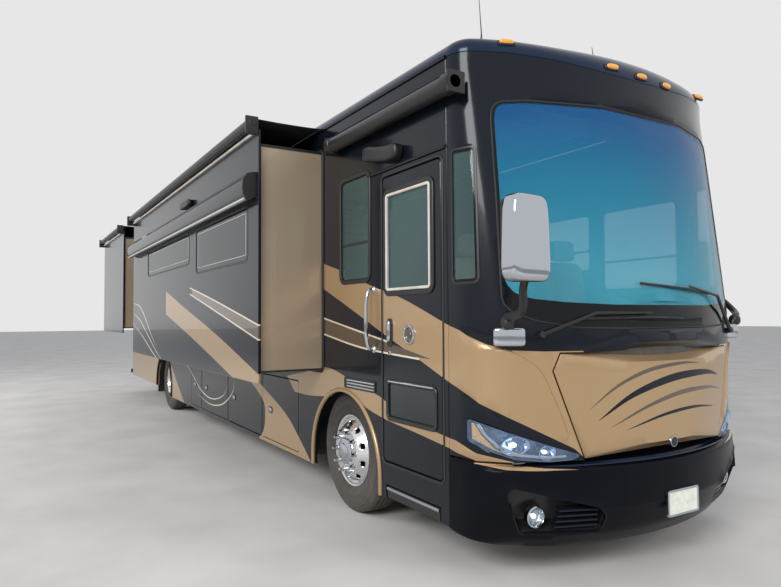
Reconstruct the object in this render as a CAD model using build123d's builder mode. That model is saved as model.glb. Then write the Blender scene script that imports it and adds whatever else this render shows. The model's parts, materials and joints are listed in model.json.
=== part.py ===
import math
import os

from build123d import *

os.makedirs("parts", exist_ok=True)

# A rear-engined motorhome on a coach chassis, in millimetres.
# The front faces -Y, the entry-door side is -X and the driver's side is +X.
# The ground is Z 0. DOOR and DRIVER multiply a distance out from the centreline.
DOOR = -1
DRIVER = 1

# Lengths along the coach, each measured back from the front axle
front_reach = 2360.0
rear_reach = 10580.0
wheelbase = 7070.0
cap_seam = -1489.0
rear_seam = 10330.0
rear_face = 10500.0
front_axle_y = (front_reach - rear_reach) / 2


def aft(distance):
    """Y of a point that lies this far behind the front axle."""
    return front_axle_y + distance


rear_axle_y = aft(wheelbase)

# Body shell
half_width = 1283.0
wall = 50.0
floor_line = 1060.0
skirt_bottom = 285.0
rear_skirt_bottom = 385.0
eave_z = 3330.0
eave_radius = 100.0
shoulder_z = eave_z + eave_radius
crown_z = 3475.0
roof_thickness = 60.0
arch_radius = 610.0
arch_centre_z = 400.0
arch_lip = 20.0
lip_depth = 9.0
gutter_depth = 10.0

# Front cap: plan outline of a shallow nose arc between two tighter corner arcs
nose_radius = 2280.0
corner_radius = 350.0
cap_wall = 40.0

# Wheels: 275/80 R22.5 tyres, twins at the rear
tyre_radius = 505.0
tyre_width = 275.0
rim_radius = 286.0
front_wheel_x = 1090.0
outer_wheel_x = 1052.0
twin_spacing = 340.0
kingpin_x = 900.0
spindle_end = 1240.0
wheel_offset = 170.0

# Slide-outs
slide_reach = 1897.0
fascia = 50.0
fascia_lap = 50.0
slide_wall = 40.0
slide_clearance = 10.0
fascia_top = 3230.0
slide_top = 3120.0

# Doors
door_front = -1419.0
door_rear = -667.0
door_bottom = 559.0
door_top = 2671.0
door_gap = 8.0
leaf = 45.0
bay_bottom = 330.0
bay_top = 1010.0
bay_leaf = 40.0
bay_gap = 6.0
hinge_stand_off = 8.0


def block(x_limits, y_limits, z_limits, mode=Mode.ADD):
    """Rectangular block between three pairs of limits, in the open part."""
    x0, x1 = sorted(x_limits)
    y0, y1 = sorted(y_limits)
    z0, z1 = sorted(z_limits)
    with Locations(((x0 + x1) / 2, (y0 + y1) / 2, (z0 + z1) / 2)):
        Box(x1 - x0, y1 - y0, z1 - z0, mode=mode)


def cross_bar(radius, x_limits, y, z, mode=Mode.ADD):
    """Round bar or hole along X."""
    x0, x1 = sorted(x_limits)
    with Locations(Location(((x0 + x1) / 2, y, z), (0, 90, 0))):
        Cylinder(radius, x1 - x0, mode=mode)


def long_bar(radius, x, y_limits, z, mode=Mode.ADD):
    """Round bar or hole along Y."""
    y0, y1 = sorted(y_limits)
    with Locations(Location((x, (y0 + y1) / 2, z), (90, 0, 0))):
        Cylinder(radius, y1 - y0, mode=mode)


def side_window(x_limits, y_limits, z_limits, radius, mode=Mode.ADD):
    """Prism across the wall with a rounded rectangle outline seen from the side."""
    x0, x1 = sorted(x_limits)
    y0, y1 = sorted(y_limits)
    z0, z1 = sorted(z_limits)
    with BuildSketch(Plane.YZ.offset(x0)) as outline:
        with Locations(((y0 + y1) / 2, (z0 + z1) / 2)):
            RectangleRounded(y1 - y0, z1 - z0, radius)
    extrude(outline.sketch, amount=x1 - x0, mode=mode)


def front_prism(points, y_limits, mode=Mode.ADD):
    """Prism along Y with a straight-sided outline of (x, z) points."""
    y0, y1 = sorted(y_limits)
    with BuildSketch(Plane.XZ.offset(-y1)) as outline:
        with BuildLine():
            Polyline(*points, close=True)
        make_face()
    extrude(outline.sketch, amount=y1 - y0, mode=mode)


def rod(start, end, radius):
    """Round rod between two points."""
    run = Vector(*end) - Vector(*start)
    with BuildSketch(Plane(origin=start, z_dir=tuple(run))) as outline:
        Circle(radius)
    extrude(outline.sketch, amount=run.length)


def side_hinges(side, pin_y, levels):
    """Hinge barrels with their straps, along the front edge of a door in the side wall."""
    pin_x = side * (half_width + hinge_stand_off)
    for level in levels:
        with Locations((pin_x, pin_y, level)):
            Cylinder(5.0, 80.0)
        block((side * half_width, pin_x), (pin_y, pin_y + 45.0), (level - 40.0, level + 40.0))


def nose_plan(level, nose_y, back_y, inset, corner=corner_radius):
    """Filled plan outline of the front cap at one level."""
    nose_r = nose_radius - inset
    corner_r = corner - inset
    side_x = half_width - inset
    turn = math.asin((half_width - corner) / (nose_radius - corner))
    corner_x = half_width - corner
    corner_y = nose_y + nose_radius - (nose_radius - corner) * math.cos(turn)
    mid = (turn + math.pi / 2) / 2
    join = (corner_x + corner_r * math.sin(turn), corner_y - corner_r * math.cos(turn))
    bulge = (corner_x + corner_r * math.sin(mid), corner_y - corner_r * math.cos(mid))
    nose = (0, nose_y + nose_radius - nose_r)
    with BuildSketch(Plane.XY.offset(level)) as plan:
        with BuildLine():
            Line((-side_x, back_y), (-side_x, corner_y))
            ThreePointArc((-side_x, corner_y), (-bulge[0], bulge[1]), (-join[0], join[1]))
            ThreePointArc((-join[0], join[1]), nose, join)
            ThreePointArc(join, bulge, (side_x, corner_y))
            Line((side_x, corner_y), (side_x, back_y))
            Line((side_x, back_y), (-side_x, back_y))
        make_face()
    return plan.sketch


def crown_section(y, inset, base_z):
    """Filled body cross-section under the crowned roof, at one station."""
    side_x = half_width - inset
    radius = eave_radius - inset
    shoulder = shoulder_z - inset
    peak_z = crown_z - inset
    slant = radius * math.sqrt(0.5)
    left = -side_x + radius
    right = side_x - radius
    with BuildSketch(Plane.XZ.offset(-y)) as section:
        with BuildLine():
            Line((-side_x, base_z), (-side_x, eave_z))
            ThreePointArc((-side_x, eave_z), (left - slant, eave_z + slant), (left, shoulder))
            ThreePointArc((left, shoulder), (0, peak_z), (right, shoulder))
            ThreePointArc((right, shoulder), (right + slant, eave_z + slant), (side_x, eave_z))
            Line((side_x, eave_z), (side_x, base_z))
            Line((side_x, base_z), (-side_x, base_z))
        make_face()
    return section.sketch


# Levels of the front cap: (z, nose distance ahead of the axle, corner radius)
cap_sections = [
    (742.0, 2172.0, 350.0), (1400.0, 2190.0, 350.0), (1560.0, 2190.0, 350.0),
    (3220.0, 1995.0, 190.0), (shoulder_z, 1995.0, 190.0),
]


def cap_form(inset):
    """Solid front cap drawn in by an inset, open-ended behind and below when it is a core."""
    overrun = wall if inset > cap_wall / 2 else 0.0
    with BuildPart() as form:
        plans = []
        for level, nose, corner in cap_sections:
            ends = {cap_sections[0][0]: overrun, cap_sections[-1][0]: inset}
            drop = ends.get(level, 0.0)
            plans.append(nose_plan(level - drop, aft(-nose), aft(cap_seam) + overrun, inset, corner))
        loft(plans, ruled=True)
        brow = form.faces().sort_by(Axis.Z)[-1].edges().sort_by(Axis.Y)[:-1]
        if inset < eave_radius:
            fillet(brow, eave_radius - inset)
    return form.part


cap_outer = cap_form(0.0)
cap_inner = cap_form(cap_wall)
glass_outer = cap_form(3.0)
glass_inner = cap_form(12.0)

# Openings in the front cap: outlines of (x, z), and the side quarter lights
windshield_half = 1150.0
windshield_bottom = 1535.0
windshield_top = 2990.0
hood_outline = [
    (-845.0, 1402.0), (845.0, 1402.0), (889.0, 1290.0), (690.0, 748.0), (-690.0, 748.0), (-889.0, 1290.0),
]
lamp_outline = [
    (1284.0, 1018.0), (1114.0, 920.0), (976.0, 868.0), (712.0, 778.0),
    (760.0, 752.0), (911.0, 745.0), (1087.0, 762.0), (1200.0, 806.0), (1284.0, 862.0),
]
quarter_light = [(-1745.0, 1836.0), (-1546.0, 1836.0), (-1546.0, 2684.0), (-1695.0, 2684.0)]
nose_zone = (aft(-2400.0), aft(-1560.0))


def mirrored(points, side):
    """Outline of (x, z) points on one side of the centreline."""
    return [(side * x, z) for x, z in points]


def quarter_prism(side, mode):
    """Prism across the cap with the outline of a quarter light."""
    with BuildSketch(Plane.YZ.offset(side * 1300.0)) as outline:
        with BuildLine():
            Polyline(*[(aft(station), z) for station, z in quarter_light], close=True)
        make_face()
    extrude(outline.sketch, amount=-side * 200.0, mode=mode)


def windshield_prism(mode):
    with BuildSketch(Plane.XZ.offset(-aft(-1560.0))) as outline:
        with Locations((0, (windshield_bottom + windshield_top) / 2)):
            RectangleRounded(2 * windshield_half, windshield_top - windshield_bottom, 60.0)
    extrude(outline.sketch, amount=900.0, mode=mode)


with BuildPart() as front_cap:
    add(cap_outer)
    # The roof's crown dies away towards the brow
    crown_half = half_width - eave_radius
    crown_ends = [(cap_seam, crown_half, crown_z), (-1800.0, 0.45 * crown_half, shoulder_z + 3)]
    crown_faces = []
    for station, half, peak in crown_ends:
        with BuildSketch(Plane.XZ.offset(-aft(station))) as crown:
            with BuildLine():
                ThreePointArc((-half, shoulder_z), (0, peak), (half, shoulder_z))
                Line((half, shoulder_z), (half, shoulder_z - 20))
                Line((half, shoulder_z - 20), (-half, shoulder_z - 20))
                Line((-half, shoulder_z - 20), (-half, shoulder_z))
            make_face()
        crown_faces.append(crown.sketch)
    loft(crown_faces, ruled=True)
    add(cap_inner, mode=Mode.SUBTRACT)
    windshield_prism(Mode.SUBTRACT)
    front_prism(hood_outline, nose_zone, Mode.SUBTRACT)
    for side in (DOOR, DRIVER):
        front_prism(mirrored(lamp_outline, side), (aft(-2400.0), aft(-1500.0)), Mode.SUBTRACT)
        quarter_prism(side, Mode.SUBTRACT)
front_cap.part.label = "front_cap"
export_step(front_cap.part, "parts/front_cap.step")

with BuildPart() as windshield:
    add(glass_outer)
    add(glass_inner, mode=Mode.SUBTRACT)
    windshield_prism(Mode.INTERSECT)
windshield.part.label = "windshield"
export_step(windshield.part, "parts/windshield.step")

with BuildPart() as headlamps:
    for side in (DOOR, DRIVER):
        front_prism(mirrored(lamp_outline, side), (aft(-2400.0), aft(-1500.0)))
    add(glass_outer, mode=Mode.INTERSECT)
    add(cap_form(70.0), mode=Mode.SUBTRACT)
headlamps.part.label = "headlamps"
export_step(headlamps.part, "parts/headlamps.step")

# Hood panel over the nose bay, hinged along its top edge
hood_gap = 12.0
hood_leaf = 16.0
with BuildPart() as hood:
    add(cap_outer)
    add(cap_form(hood_leaf), mode=Mode.SUBTRACT)
    with BuildSketch(Plane.XZ.offset(-nose_zone[1])) as hood_face:
        with BuildLine():
            Polyline(*hood_outline, close=True)
        make_face()
        offset(amount=-hood_gap, kind=Kind.INTERSECTION, mode=Mode.REPLACE)
    extrude(amount=nose_zone[1] - nose_zone[0], mode=Mode.INTERSECT)
hood.part.label = "hood"
export_step(hood.part, "parts/hood.step")

# Bumper: (z, nose distance ahead of the axle, corner radius), with a bevelled ledge along its top
bumper_sections = [
    (200.0, 2055.0, 250.0), (320.0, 2150.0, 350.0), (460.0, 2208.0, 350.0),
    (690.0, 2205.0, 350.0), (738.0, 2182.0, 350.0),
]
intake = [(1130.0, 600.0), (690.0, 500.0), (610.0, 440.0), (610.0, 320.0), (1080.0, 320.0)]


def bumper_form(inset):
    with BuildPart() as form:
        plans = []
        for level, nose, corner in bumper_sections:
            end = level in (bumper_sections[0][0], bumper_sections[-1][0])
            stretch = 40.0 * (1 if level > 400 else -1) if end and inset else 0.0
            back_y = aft(cap_seam) + (wall if inset else 0.0)
            plans.append(nose_plan(level + stretch, aft(-nose), back_y, inset, corner))
        loft(plans, ruled=True)
    return form.part


bumper_outer = bumper_form(0.0)
bumper_inner = bumper_form(cap_wall)

with BuildPart() as front_bumper:
    add(bumper_outer)
    add(bumper_inner, mode=Mode.SUBTRACT)
    for side in (DOOR, DRIVER):
        front_prism(mirrored(intake, side), (aft(-2400.0), aft(-1700.0)), Mode.SUBTRACT)
    # The lower edge rises towards the sides
    with BuildSketch(Plane.YZ.offset(-half_width - wall)):
        with BuildLine():
            Polyline(
                (aft(cap_seam) + 10, skirt_bottom), (aft(-1850.0), 199.0),
                (aft(cap_seam) + 10, 199.0), close=True,
            )
        make_face()
    extrude(amount=2 * (half_width + wall), mode=Mode.SUBTRACT)
front_bumper.part.label = "front_bumper"
export_step(front_bumper.part, "parts/front_bumper.step")

# Roof: crowned shell between the two caps
with BuildPart() as roof:
    extrude(crown_section(aft(rear_seam), 0.0, eave_z - 1.0), amount=rear_seam - cap_seam)
    extrude(
        crown_section(aft(rear_seam) + 10, roof_thickness, eave_z - 50.0),
        amount=rear_seam - cap_seam + 20, mode=Mode.SUBTRACT,
    )
    block((-half_width, half_width), (aft(cap_seam), aft(rear_seam)), (eave_z - 5, eave_z), Mode.SUBTRACT)
roof.part.label = "roof"
export_step(roof.part, "parts/roof.step")

# Slide-outs: (name, side, front, rear, floor z, windows of (front, rear, low, high))
slides = [
    ("slide_front_right", DOOR, 360.0, 6526.0, 1154.0,
     [(640.0, 2430.0, 2120.0, 2620.0), (2740.0, 5260.0, 2250.0, 2635.0)]),
    ("slide_rear_right", DOOR, 7630.0, 10240.0, 1450.0, []),
    ("slide_left", DRIVER, 900.0, 5300.0, 1154.0,
     [(1250.0, 2600.0, 2120.0, 2620.0), (3300.0, 4900.0, 2120.0, 2620.0)]),
]

# Windows in the side walls: (side, front, rear, low, high)
wall_windows = [
    (DOOR, -467.0, 36.0, 1914.0, 2770.0),
    (DRIVER, -1380.0, -560.0, 1860.0, 2640.0),
    (DRIVER, -420.0, 480.0, 2060.0, 2640.0),
    (DRIVER, 5900.0, 7000.0, 2060.0, 2640.0),
    (DRIVER, 7900.0, 9300.0, 2200.0, 2640.0),
]

for name, side in (("wall_right", DOOR), ("wall_left", DRIVER)):
    with BuildPart() as body_side:
        block(
            (side * half_width, side * (half_width - wall)),
            (aft(cap_seam), aft(rear_seam)),
            (floor_line, eave_z),
        )
        through = (side * (half_width + wall), side * (half_width - 2 * wall))
        for _, slide_side, front, rear, slide_floor, _ in slides:
            if slide_side == side:
                inset = fascia_lap - slide_clearance
                block(
                    through, (aft(front + inset), aft(rear - inset)),
                    (slide_floor - slide_clearance, slide_top + slide_clearance), Mode.SUBTRACT,
                )
        for window_side, front, rear, low, high in wall_windows:
            if window_side == side:
                side_window(through, (aft(front), aft(rear)), (low, high), 60.0, Mode.SUBTRACT)
        if side == DOOR:
            block(
                through, (aft(door_front - door_gap), aft(door_rear + door_gap)),
                (door_bottom - door_gap, door_top + door_gap), Mode.SUBTRACT,
            )
        gutter = (side * half_width, side * (half_width + gutter_depth))
        block(gutter, (aft(cap_seam), aft(rear_seam)), (eave_z - 22.0, eave_z - 8.0))
    body_side.part.label = name
    export_step(body_side.part, "parts/" + name + ".step")

# Luggage bay doors: (name, side, front, rear), each hinged along its front edge
bay_doors = [
    ("bay_door_right_1", DOOR, 960.0, 1950.0),
    ("bay_door_right_2", DOOR, 1990.0, 3215.0),
    ("bay_door_right_3", DOOR, 3255.0, 4490.0),
    ("bay_door_right_4", DOOR, 4530.0, 5090.0),
    ("bay_door_left_1", DRIVER, 960.0, 2180.0),
    ("bay_door_left_2", DRIVER, 2220.0, 3440.0),
]

for name, side in (("skirt_right", DOOR), ("skirt_left", DRIVER)):
    with BuildPart() as skirt:
        outer = side * half_width
        inner = side * (half_width - wall)
        block((outer, inner), (aft(cap_seam), aft(rear_seam)), (skirt_bottom, floor_line))
        through = (side * (half_width + wall), side * (half_width - 2 * wall))
        for axle_y in (front_axle_y, rear_axle_y):
            cross_bar(arch_radius, through, axle_y, arch_centre_z, Mode.SUBTRACT)
            block(
                through, (axle_y - arch_radius, axle_y + arch_radius),
                (skirt_bottom - wall, arch_centre_z), Mode.SUBTRACT,
            )
        block(
            through, (rear_axle_y + arch_radius, aft(rear_seam) + wall),
            (skirt_bottom - wall, rear_skirt_bottom), Mode.SUBTRACT,
        )
        for _, door_side, front, rear in bay_doors:
            if door_side == side:
                block(
                    through, (aft(front - bay_gap), aft(rear + bay_gap)),
                    (bay_bottom - bay_gap, bay_top + bay_gap), Mode.SUBTRACT,
                )
        if side == DOOR:
            block(
                through, (aft(door_front - door_gap), aft(door_rear + door_gap)),
                (door_bottom - door_gap, floor_line + wall), Mode.SUBTRACT,
            )
            block(
                through, (aft(door_front + 30), aft(door_rear - 30)),
                (skirt_bottom - wall, 400.0), Mode.SUBTRACT,
            )
        # A raised lip round the upper half of each wheel arch
        for axle_y in (front_axle_y, rear_axle_y):
            with BuildSketch(Plane.YZ.offset(outer)) as lip:
                with Locations((axle_y, arch_centre_z)):
                    Circle(arch_radius + arch_lip)
                    Circle(arch_radius, mode=Mode.SUBTRACT)
                with Locations((axle_y, arch_centre_z - arch_radius)):
                    Rectangle(4 * arch_radius, 2 * arch_radius, mode=Mode.SUBTRACT)
            extrude(lip.sketch, amount=side * lip_depth)
    skirt.part.label = name
    export_step(skirt.part, "parts/" + name + ".step")

# Rear cap with rounded corners and the opening of the engine door
engine_door_half = 720.0
engine_door_low = 520.0
engine_door_high = 1340.0
moulding_low = 418.0
receiver_notch = ((-60.0, 60.0), (rear_skirt_bottom - 10.0, 445.0))


def rear_form(inset):
    with BuildPart() as form:
        back = aft(rear_face) - inset
        front = aft(rear_seam) - (wall if inset else 0.0)
        side_x = half_width - inset
        bottom = rear_skirt_bottom - (wall if inset else 0.0)
        with BuildSketch(Plane.XY.offset(bottom)):
            with Locations((0, (back + front) / 2 - 200.0)):
                RectangleRounded(2 * side_x, back - front + 400.0, 140.0 - inset)
            with Locations((0, front - 500.0)):
                Rectangle(4 * side_x, 1000.0, mode=Mode.SUBTRACT)
        extrude(amount=crown_z + wall - bottom)
        extrude(
            crown_section(aft(rear_face) + wall, inset, 0.0),
            amount=rear_face - rear_seam + 4 * wall, mode=Mode.INTERSECT,
        )
    return form.part


rear_outer = rear_form(0.0)
rear_inner = rear_form(wall)

with BuildPart() as rear_cap:
    add(rear_outer)
    add(rear_inner, mode=Mode.SUBTRACT)
    block(
        (-engine_door_half, engine_door_half), (aft(rear_face) - 2 * wall, aft(rear_face) + wall),
        (engine_door_low, engine_door_high), Mode.SUBTRACT,
    )
    block(receiver_notch[0], (aft(rear_seam), aft(rear_reach) + 10), receiver_notch[1], Mode.SUBTRACT)
rear_cap.part.label = "rear_cap"
export_step(rear_cap.part, "parts/rear_cap.step")

# Bumper moulding across the tail, notched over the tow receiver
with BuildPart() as rear_bumper:
    with BuildSketch(Plane.XY.offset(moulding_low)):
        with Locations((0, aft(rear_face))):
            RectangleRounded(2 * half_width - 120.0, 120.0, 50.0)
        with Locations((0, aft(rear_face) - 100.0)):
            Rectangle(2 * half_width, 200.0, mode=Mode.SUBTRACT)
    extrude(amount=100.0)
    chamfer(rear_bumper.faces().sort_by(Axis.Z)[-1].edges().sort_by(Axis.Y)[-1], 20.0)
    block(receiver_notch[0], (aft(rear_seam), aft(rear_reach) + 10), receiver_notch[1], Mode.SUBTRACT)
rear_bumper.part.label = "rear_bumper"
export_step(rear_bumper.part, "parts/rear_bumper.step")

with BuildPart() as engine_door:
    block(
        (-engine_door_half + 6, engine_door_half - 6), (aft(rear_face) - 40, aft(rear_face)),
        (engine_door_low + 8, engine_door_high - 6),
    )
    with Locations(*[(0, aft(rear_face) - 20, engine_door_low + 130.0 + 60.0 * row) for row in range(8)]):
        Box(1100.0, 100.0, 26.0, mode=Mode.SUBTRACT)
    strap_z = (engine_door_high - 50.0, engine_door_high - 2.0)
    for hinge_x in (-520.0, 520.0):
        hinge_run = (hinge_x - 50.0, hinge_x + 50.0)
        cross_bar(4.0, hinge_run, aft(rear_face) + 6.0, strap_z[1])
        block(hinge_run, (aft(rear_face), aft(rear_face) + 6.0), strap_z)
engine_door.part.label = "engine_door"
export_step(engine_door.part, "parts/engine_door.step")

# Floors: cabin floor, raised bedroom floor, luggage bay floor, step well
deck_top = 1130.0
deck_thickness = 60.0
inner_x = half_width - wall
basement = (900.0, 6330.0)
bulkhead = 30.0
bedroom_floor_front = 6580.0
bedroom_top = 1420.0
rail_x = 430.0
rail_width = 80.0
rail_low = 720.0
rail_high = 950.0
step_well = (door_front + 20.0, door_rear - 20.0)
# Step treads: (top z, outer edge x, inner edge x, top of the riser behind)
step_risers = [(580.0, -inner_x, -960.0, 834.0), (860.0, -980.0, -701.0, deck_top)]

sheet_seam = 1.0
well_plate = 25.0
well_riser = 20.0
well_inner_x = -700.0
tray_low = 296.0
tray_thickness = 26.0

# The floor is laid in sheets: nose, beside the step well, main, then up to the bedroom
with BuildPart() as floor_deck:
    deck_z = (deck_top - deck_thickness, deck_top)
    extrude(
        nose_plan(deck_z[0], aft(-2150.0), aft(step_well[0] - well_plate), wall + 6.0),
        amount=deck_thickness,
    )
    beside_well = (aft(step_well[0] - well_plate) + sheet_seam, aft(step_well[1] + well_plate) - sheet_seam)
    block((well_inner_x, inner_x), beside_well, deck_z)
    block((-inner_x, inner_x), (aft(step_well[1] + well_plate), aft(bedroom_floor_front) - bulkhead), deck_z)
    block((-inner_x, inner_x),
          (aft(bedroom_floor_front) - bulkhead + sheet_seam, aft(bedroom_floor_front) - sheet_seam),
          (deck_z[0], bedroom_top))
    block((-inner_x, inner_x), (aft(bedroom_floor_front), aft(rear_seam)),
          (bedroom_top - deck_thickness, bedroom_top))
floor_deck.part.label = "floor_deck"
export_step(floor_deck.part, "parts/floor_deck.step")

# Floor of the luggage bays between two bulkheads, which the rails pass through
with BuildPart() as basement_tray:
    tray_top = tray_low + tray_thickness
    block((-inner_x, inner_x), (aft(basement[0]), aft(basement[1]) + bulkhead), (tray_low, tray_top))
    for station in basement:
        block((-inner_x, inner_x), (aft(station), aft(station) + bulkhead),
              (tray_top + sheet_seam, deck_top - deck_thickness))
    for side in (DOOR, DRIVER):
        centre = side * rail_x
        block(
            (centre - rail_width / 2, centre + rail_width / 2),
            (aft(basement[0] - 100), aft(basement[1] + 100)), (rail_low, rail_high), Mode.SUBTRACT,
        )
basement_tray.part.label = "basement_tray"
export_step(basement_tray.part, "parts/basement_tray.step")

# Step well inside the entry door: two side plates, and a riser standing on each tread
with BuildPart() as entry_step_well:
    for edge in (step_well[0] - well_plate, step_well[1]):
        block((-inner_x, well_inner_x), (aft(edge), aft(edge + well_plate)),
              (step_risers[0][0] - well_plate, deck_top))
    well_y = (aft(step_well[0]) + sheet_seam, aft(step_well[1]) - sheet_seam)
    for tread_z, outer_x, inner_edge, riser_top in step_risers:
        block((outer_x, inner_edge), well_y, (tread_z - well_plate, tread_z))
        block((inner_edge - well_riser, inner_edge), well_y, (tread_z + sheet_seam, riser_top))
entry_step_well.part.label = "entry_step_well"
export_step(entry_step_well.part, "parts/entry_step_well.step")

# Chassis: two rails joined by cross members, with the tow receiver under the tail
receiver_bore = 51.0
receiver_wall = 6.5
receiver_length = 300.0
receiver_z = 400.0
receiver_pin_radius = 8.1
rail_ends = (-1950.0, 10280.0)
channel = 8.0
web_x = rail_x + rail_width / 2 - channel
member_width = 70.0
member_stations = (-1900.0, -700.0, 650.0, 2600.0, 4500.0, 6500.0, 7750.0, 9900.0, 10200.0)

with BuildPart() as chassis_frame:
    rail_run = (aft(rail_ends[0]), aft(rail_ends[1]))
    for side in (DOOR, DRIVER):
        rail_sides = (side * (rail_x - rail_width / 2), side * (rail_x + rail_width / 2))
        block(rail_sides, rail_run, (rail_low, rail_high))
        # Each rail is a channel, open towards the middle of the coach
        block((0.0, side * web_x), rail_run, (rail_low + channel, rail_high - channel), Mode.SUBTRACT)
chassis_frame.part.label = "chassis_frame"
export_step(chassis_frame.part, "parts/chassis_frame.step")

with BuildPart() as frame_cross_members:
    for station in member_stations:
        member_run = (aft(station), aft(station) + member_width)
        block((-web_x, web_x), member_run, (rail_low + 30, rail_high - 30))
        pocket = (member_run[0] + channel, member_run[1])
        block((-web_x, web_x), pocket, (rail_low + 30 + channel, rail_high - 30 - channel), Mode.SUBTRACT)
frame_cross_members.part.label = "frame_cross_members"
export_step(frame_cross_members.part, "parts/frame_cross_members.step")

# Tow receiver: a square socket on a beam, hung from the rails by two plates
with BuildPart() as tow_receiver:
    for side in (DOOR, DRIVER):
        block((side * 400.0, side * 440.0), (aft(10100.0), aft(10280.0)), (receiver_z, rail_low))
    block((-450.0, 450.0), (aft(10180.0), aft(10280.0)), (receiver_z - 50, receiver_z + 60))
    outer_tube = receiver_bore + 2 * receiver_wall
    block((-outer_tube / 2, outer_tube / 2), (aft(rear_reach) - receiver_length, aft(rear_reach)),
          (receiver_z - outer_tube / 2, receiver_z + outer_tube / 2))
    block((-receiver_bore / 2, receiver_bore / 2), (aft(rear_reach) - receiver_length, aft(rear_reach) + 10),
          (receiver_z - receiver_bore / 2, receiver_z + receiver_bore / 2), Mode.SUBTRACT)
    cross_bar(receiver_pin_radius, (-outer_tube, outer_tube), aft(rear_reach) - 62, receiver_z, Mode.SUBTRACT)
tow_receiver.part.label = "tow_receiver"
export_step(tow_receiver.part, "parts/tow_receiver.step")

# Axles with their air springs; each end of the beam is an eye round the kingpin
axle_eye = 43.0
with BuildPart() as axles:
    block((-820.0, 820.0), (front_axle_y - 55, front_axle_y + 55), (410.0, 530.0))
    for side in (DOOR, DRIVER):
        with Locations((side * kingpin_x, front_axle_y, tyre_radius)):
            Cylinder(24.0, 300.0)
        beam_y = (front_axle_y - axle_eye, front_axle_y + axle_eye)
        block((side * 800.0, side * kingpin_x), beam_y, (430.0, 580.0))
        with Locations((side * kingpin_x, front_axle_y, tyre_radius)):
            Cylinder(axle_eye, 150.0)
        with Locations((side * rail_x, front_axle_y, 625.0)):
            Cylinder(125.0, 190.0)
        for shift in (-420.0, 420.0):
            with Locations((side * rail_x, rear_axle_y + shift, 600.0)):
                Cylinder(130.0, 240.0)
            block(
                (side * (rail_x - 60), side * (rail_x + 60)), (rear_axle_y, rear_axle_y + shift),
                (430.0, 485.0),
            )
            with Locations((side * rail_x, rear_axle_y + shift, 457.5)):
                Cylinder(130.0, 55.0)
    cross_bar(85.0, (-560.0, 560.0), rear_axle_y, tyre_radius)
    cross_bar(58.0, (-970.0, 970.0), rear_axle_y, tyre_radius)
    with Locations((0, rear_axle_y, tyre_radius)):
        Sphere(200.0)
    long_bar(45.0, 0.0, (rear_axle_y, aft(8250.0)), tyre_radius + 20)
axles.part.label = "axles"
export_step(axles.part, "parts/axles.step")

# The engine is a plain block, its four mounts resting in the channels of the rails
engine_half = 340.0
with BuildPart() as engine_block:
    block((-engine_half, engine_half), (aft(8250.0), aft(9450.0)), (430.0, 1290.0))
    for side in (DOOR, DRIVER):
        for station in (8400.0, 9200.0):
            foot = (side * engine_half, side * (rail_x + 10.0))
            block(foot, (aft(station), aft(station) + 100), (rail_low + channel, rail_low + channel + 40))
engine_block.part.label = "engine_block"
export_step(engine_block.part, "parts/engine_block.step")

# Steering knuckles swing on the kingpins and carry the wheel spindles
arm_reach = 200.0
arm_z = 380.0
for name, side in (("knuckle_right", DOOR), ("knuckle_left", DRIVER)):
    with BuildPart() as knuckle:
        pin_x = side * kingpin_x
        for lug_z in (tyre_radius + 110, tyre_radius - 120):
            with Locations((pin_x, front_axle_y, lug_z)):
                Cylinder(52.0, 50.0)
        block((pin_x + side * 30, pin_x + side * 60), (front_axle_y - 45, front_axle_y + 45), (360.0, 640.0))
        block((pin_x + side * 52, pin_x + side * 62), (front_axle_y - 60, front_axle_y + 60), (360.0, 640.0))
        cross_bar(38.0, (pin_x + side * 55, side * spindle_end), front_axle_y, tyre_radius)
        arm_end = front_axle_y + arm_reach + 30
        block((pin_x - 20, pin_x + 20), (front_axle_y, arm_end), (arm_z - 20, arm_z + 5))
        with Locations((pin_x, front_axle_y, tyre_radius)):
            Cylinder(24.6, 400.0, mode=Mode.SUBTRACT)
        block((pin_x - side * 60, pin_x + side * 51), (front_axle_y - 60, front_axle_y + 60), (420.0, 590.0),
              Mode.SUBTRACT)
    knuckle.part.label = name
    export_step(knuckle.part, "parts/" + name + ".step")

with BuildPart() as tie_rod:
    rod_y = front_axle_y + arm_reach
    rod_z = arm_z - 52
    cross_bar(17.0, (-kingpin_x, kingpin_x), rod_y, rod_z)
    with Locations((-kingpin_x, rod_y, rod_z), (kingpin_x, rod_y, rod_z)):
        Cylinder(27.0, 50.0)
tie_rod.part.label = "tie_rod"
export_step(tie_rod.part, "parts/tie_rod.step")

# Tyre section turned about X: (radius, distance from the middle of the tread)
half_tyre = tyre_width / 2
wheels = [
    ("front_right", DOOR, front_axle_y, front_wheel_x, 1),
    ("front_left", DRIVER, front_axle_y, front_wheel_x, 1),
    ("rear_right", DOOR, rear_axle_y, outer_wheel_x, 2),
    ("rear_left", DRIVER, rear_axle_y, outer_wheel_x, 2),
]

# Wheel section turned about the axle, as (radius, distance from the middle of the tyre):
# barrel with two flanges and a drop centre, and a disc that bulges out to its flat centre
disc_thickness = 20.0
wheel_section = [
    (292.0, -113.0), (296.0, -108.0), (rim_radius, -103.0), (rim_radius, -74.0), (266.0, -52.0),
    (266.0, 34.0), (rim_radius, 66.0), (rim_radius, 103.0), (296.0, 108.0), (292.0, 113.0),
    (279.0, 110.0), (266.0, 92.0), (246.0, 108.0), (214.0, 150.0), (196.0, wheel_offset - 2.0),
    (190.0, wheel_offset), (60.0, wheel_offset), (60.0, wheel_offset - disc_thickness),
    (184.0, wheel_offset - disc_thickness), (198.0, 138.0), (230.0, 96.0), (252.0, 70.0), (252.0, -52.0),
    (272.0, -78.0), (279.0, -110.0),
]
hand_hole = 23.0
hand_hole_circle = 226.0
stud_circle = 167.5
stud_length = 46.0


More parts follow.
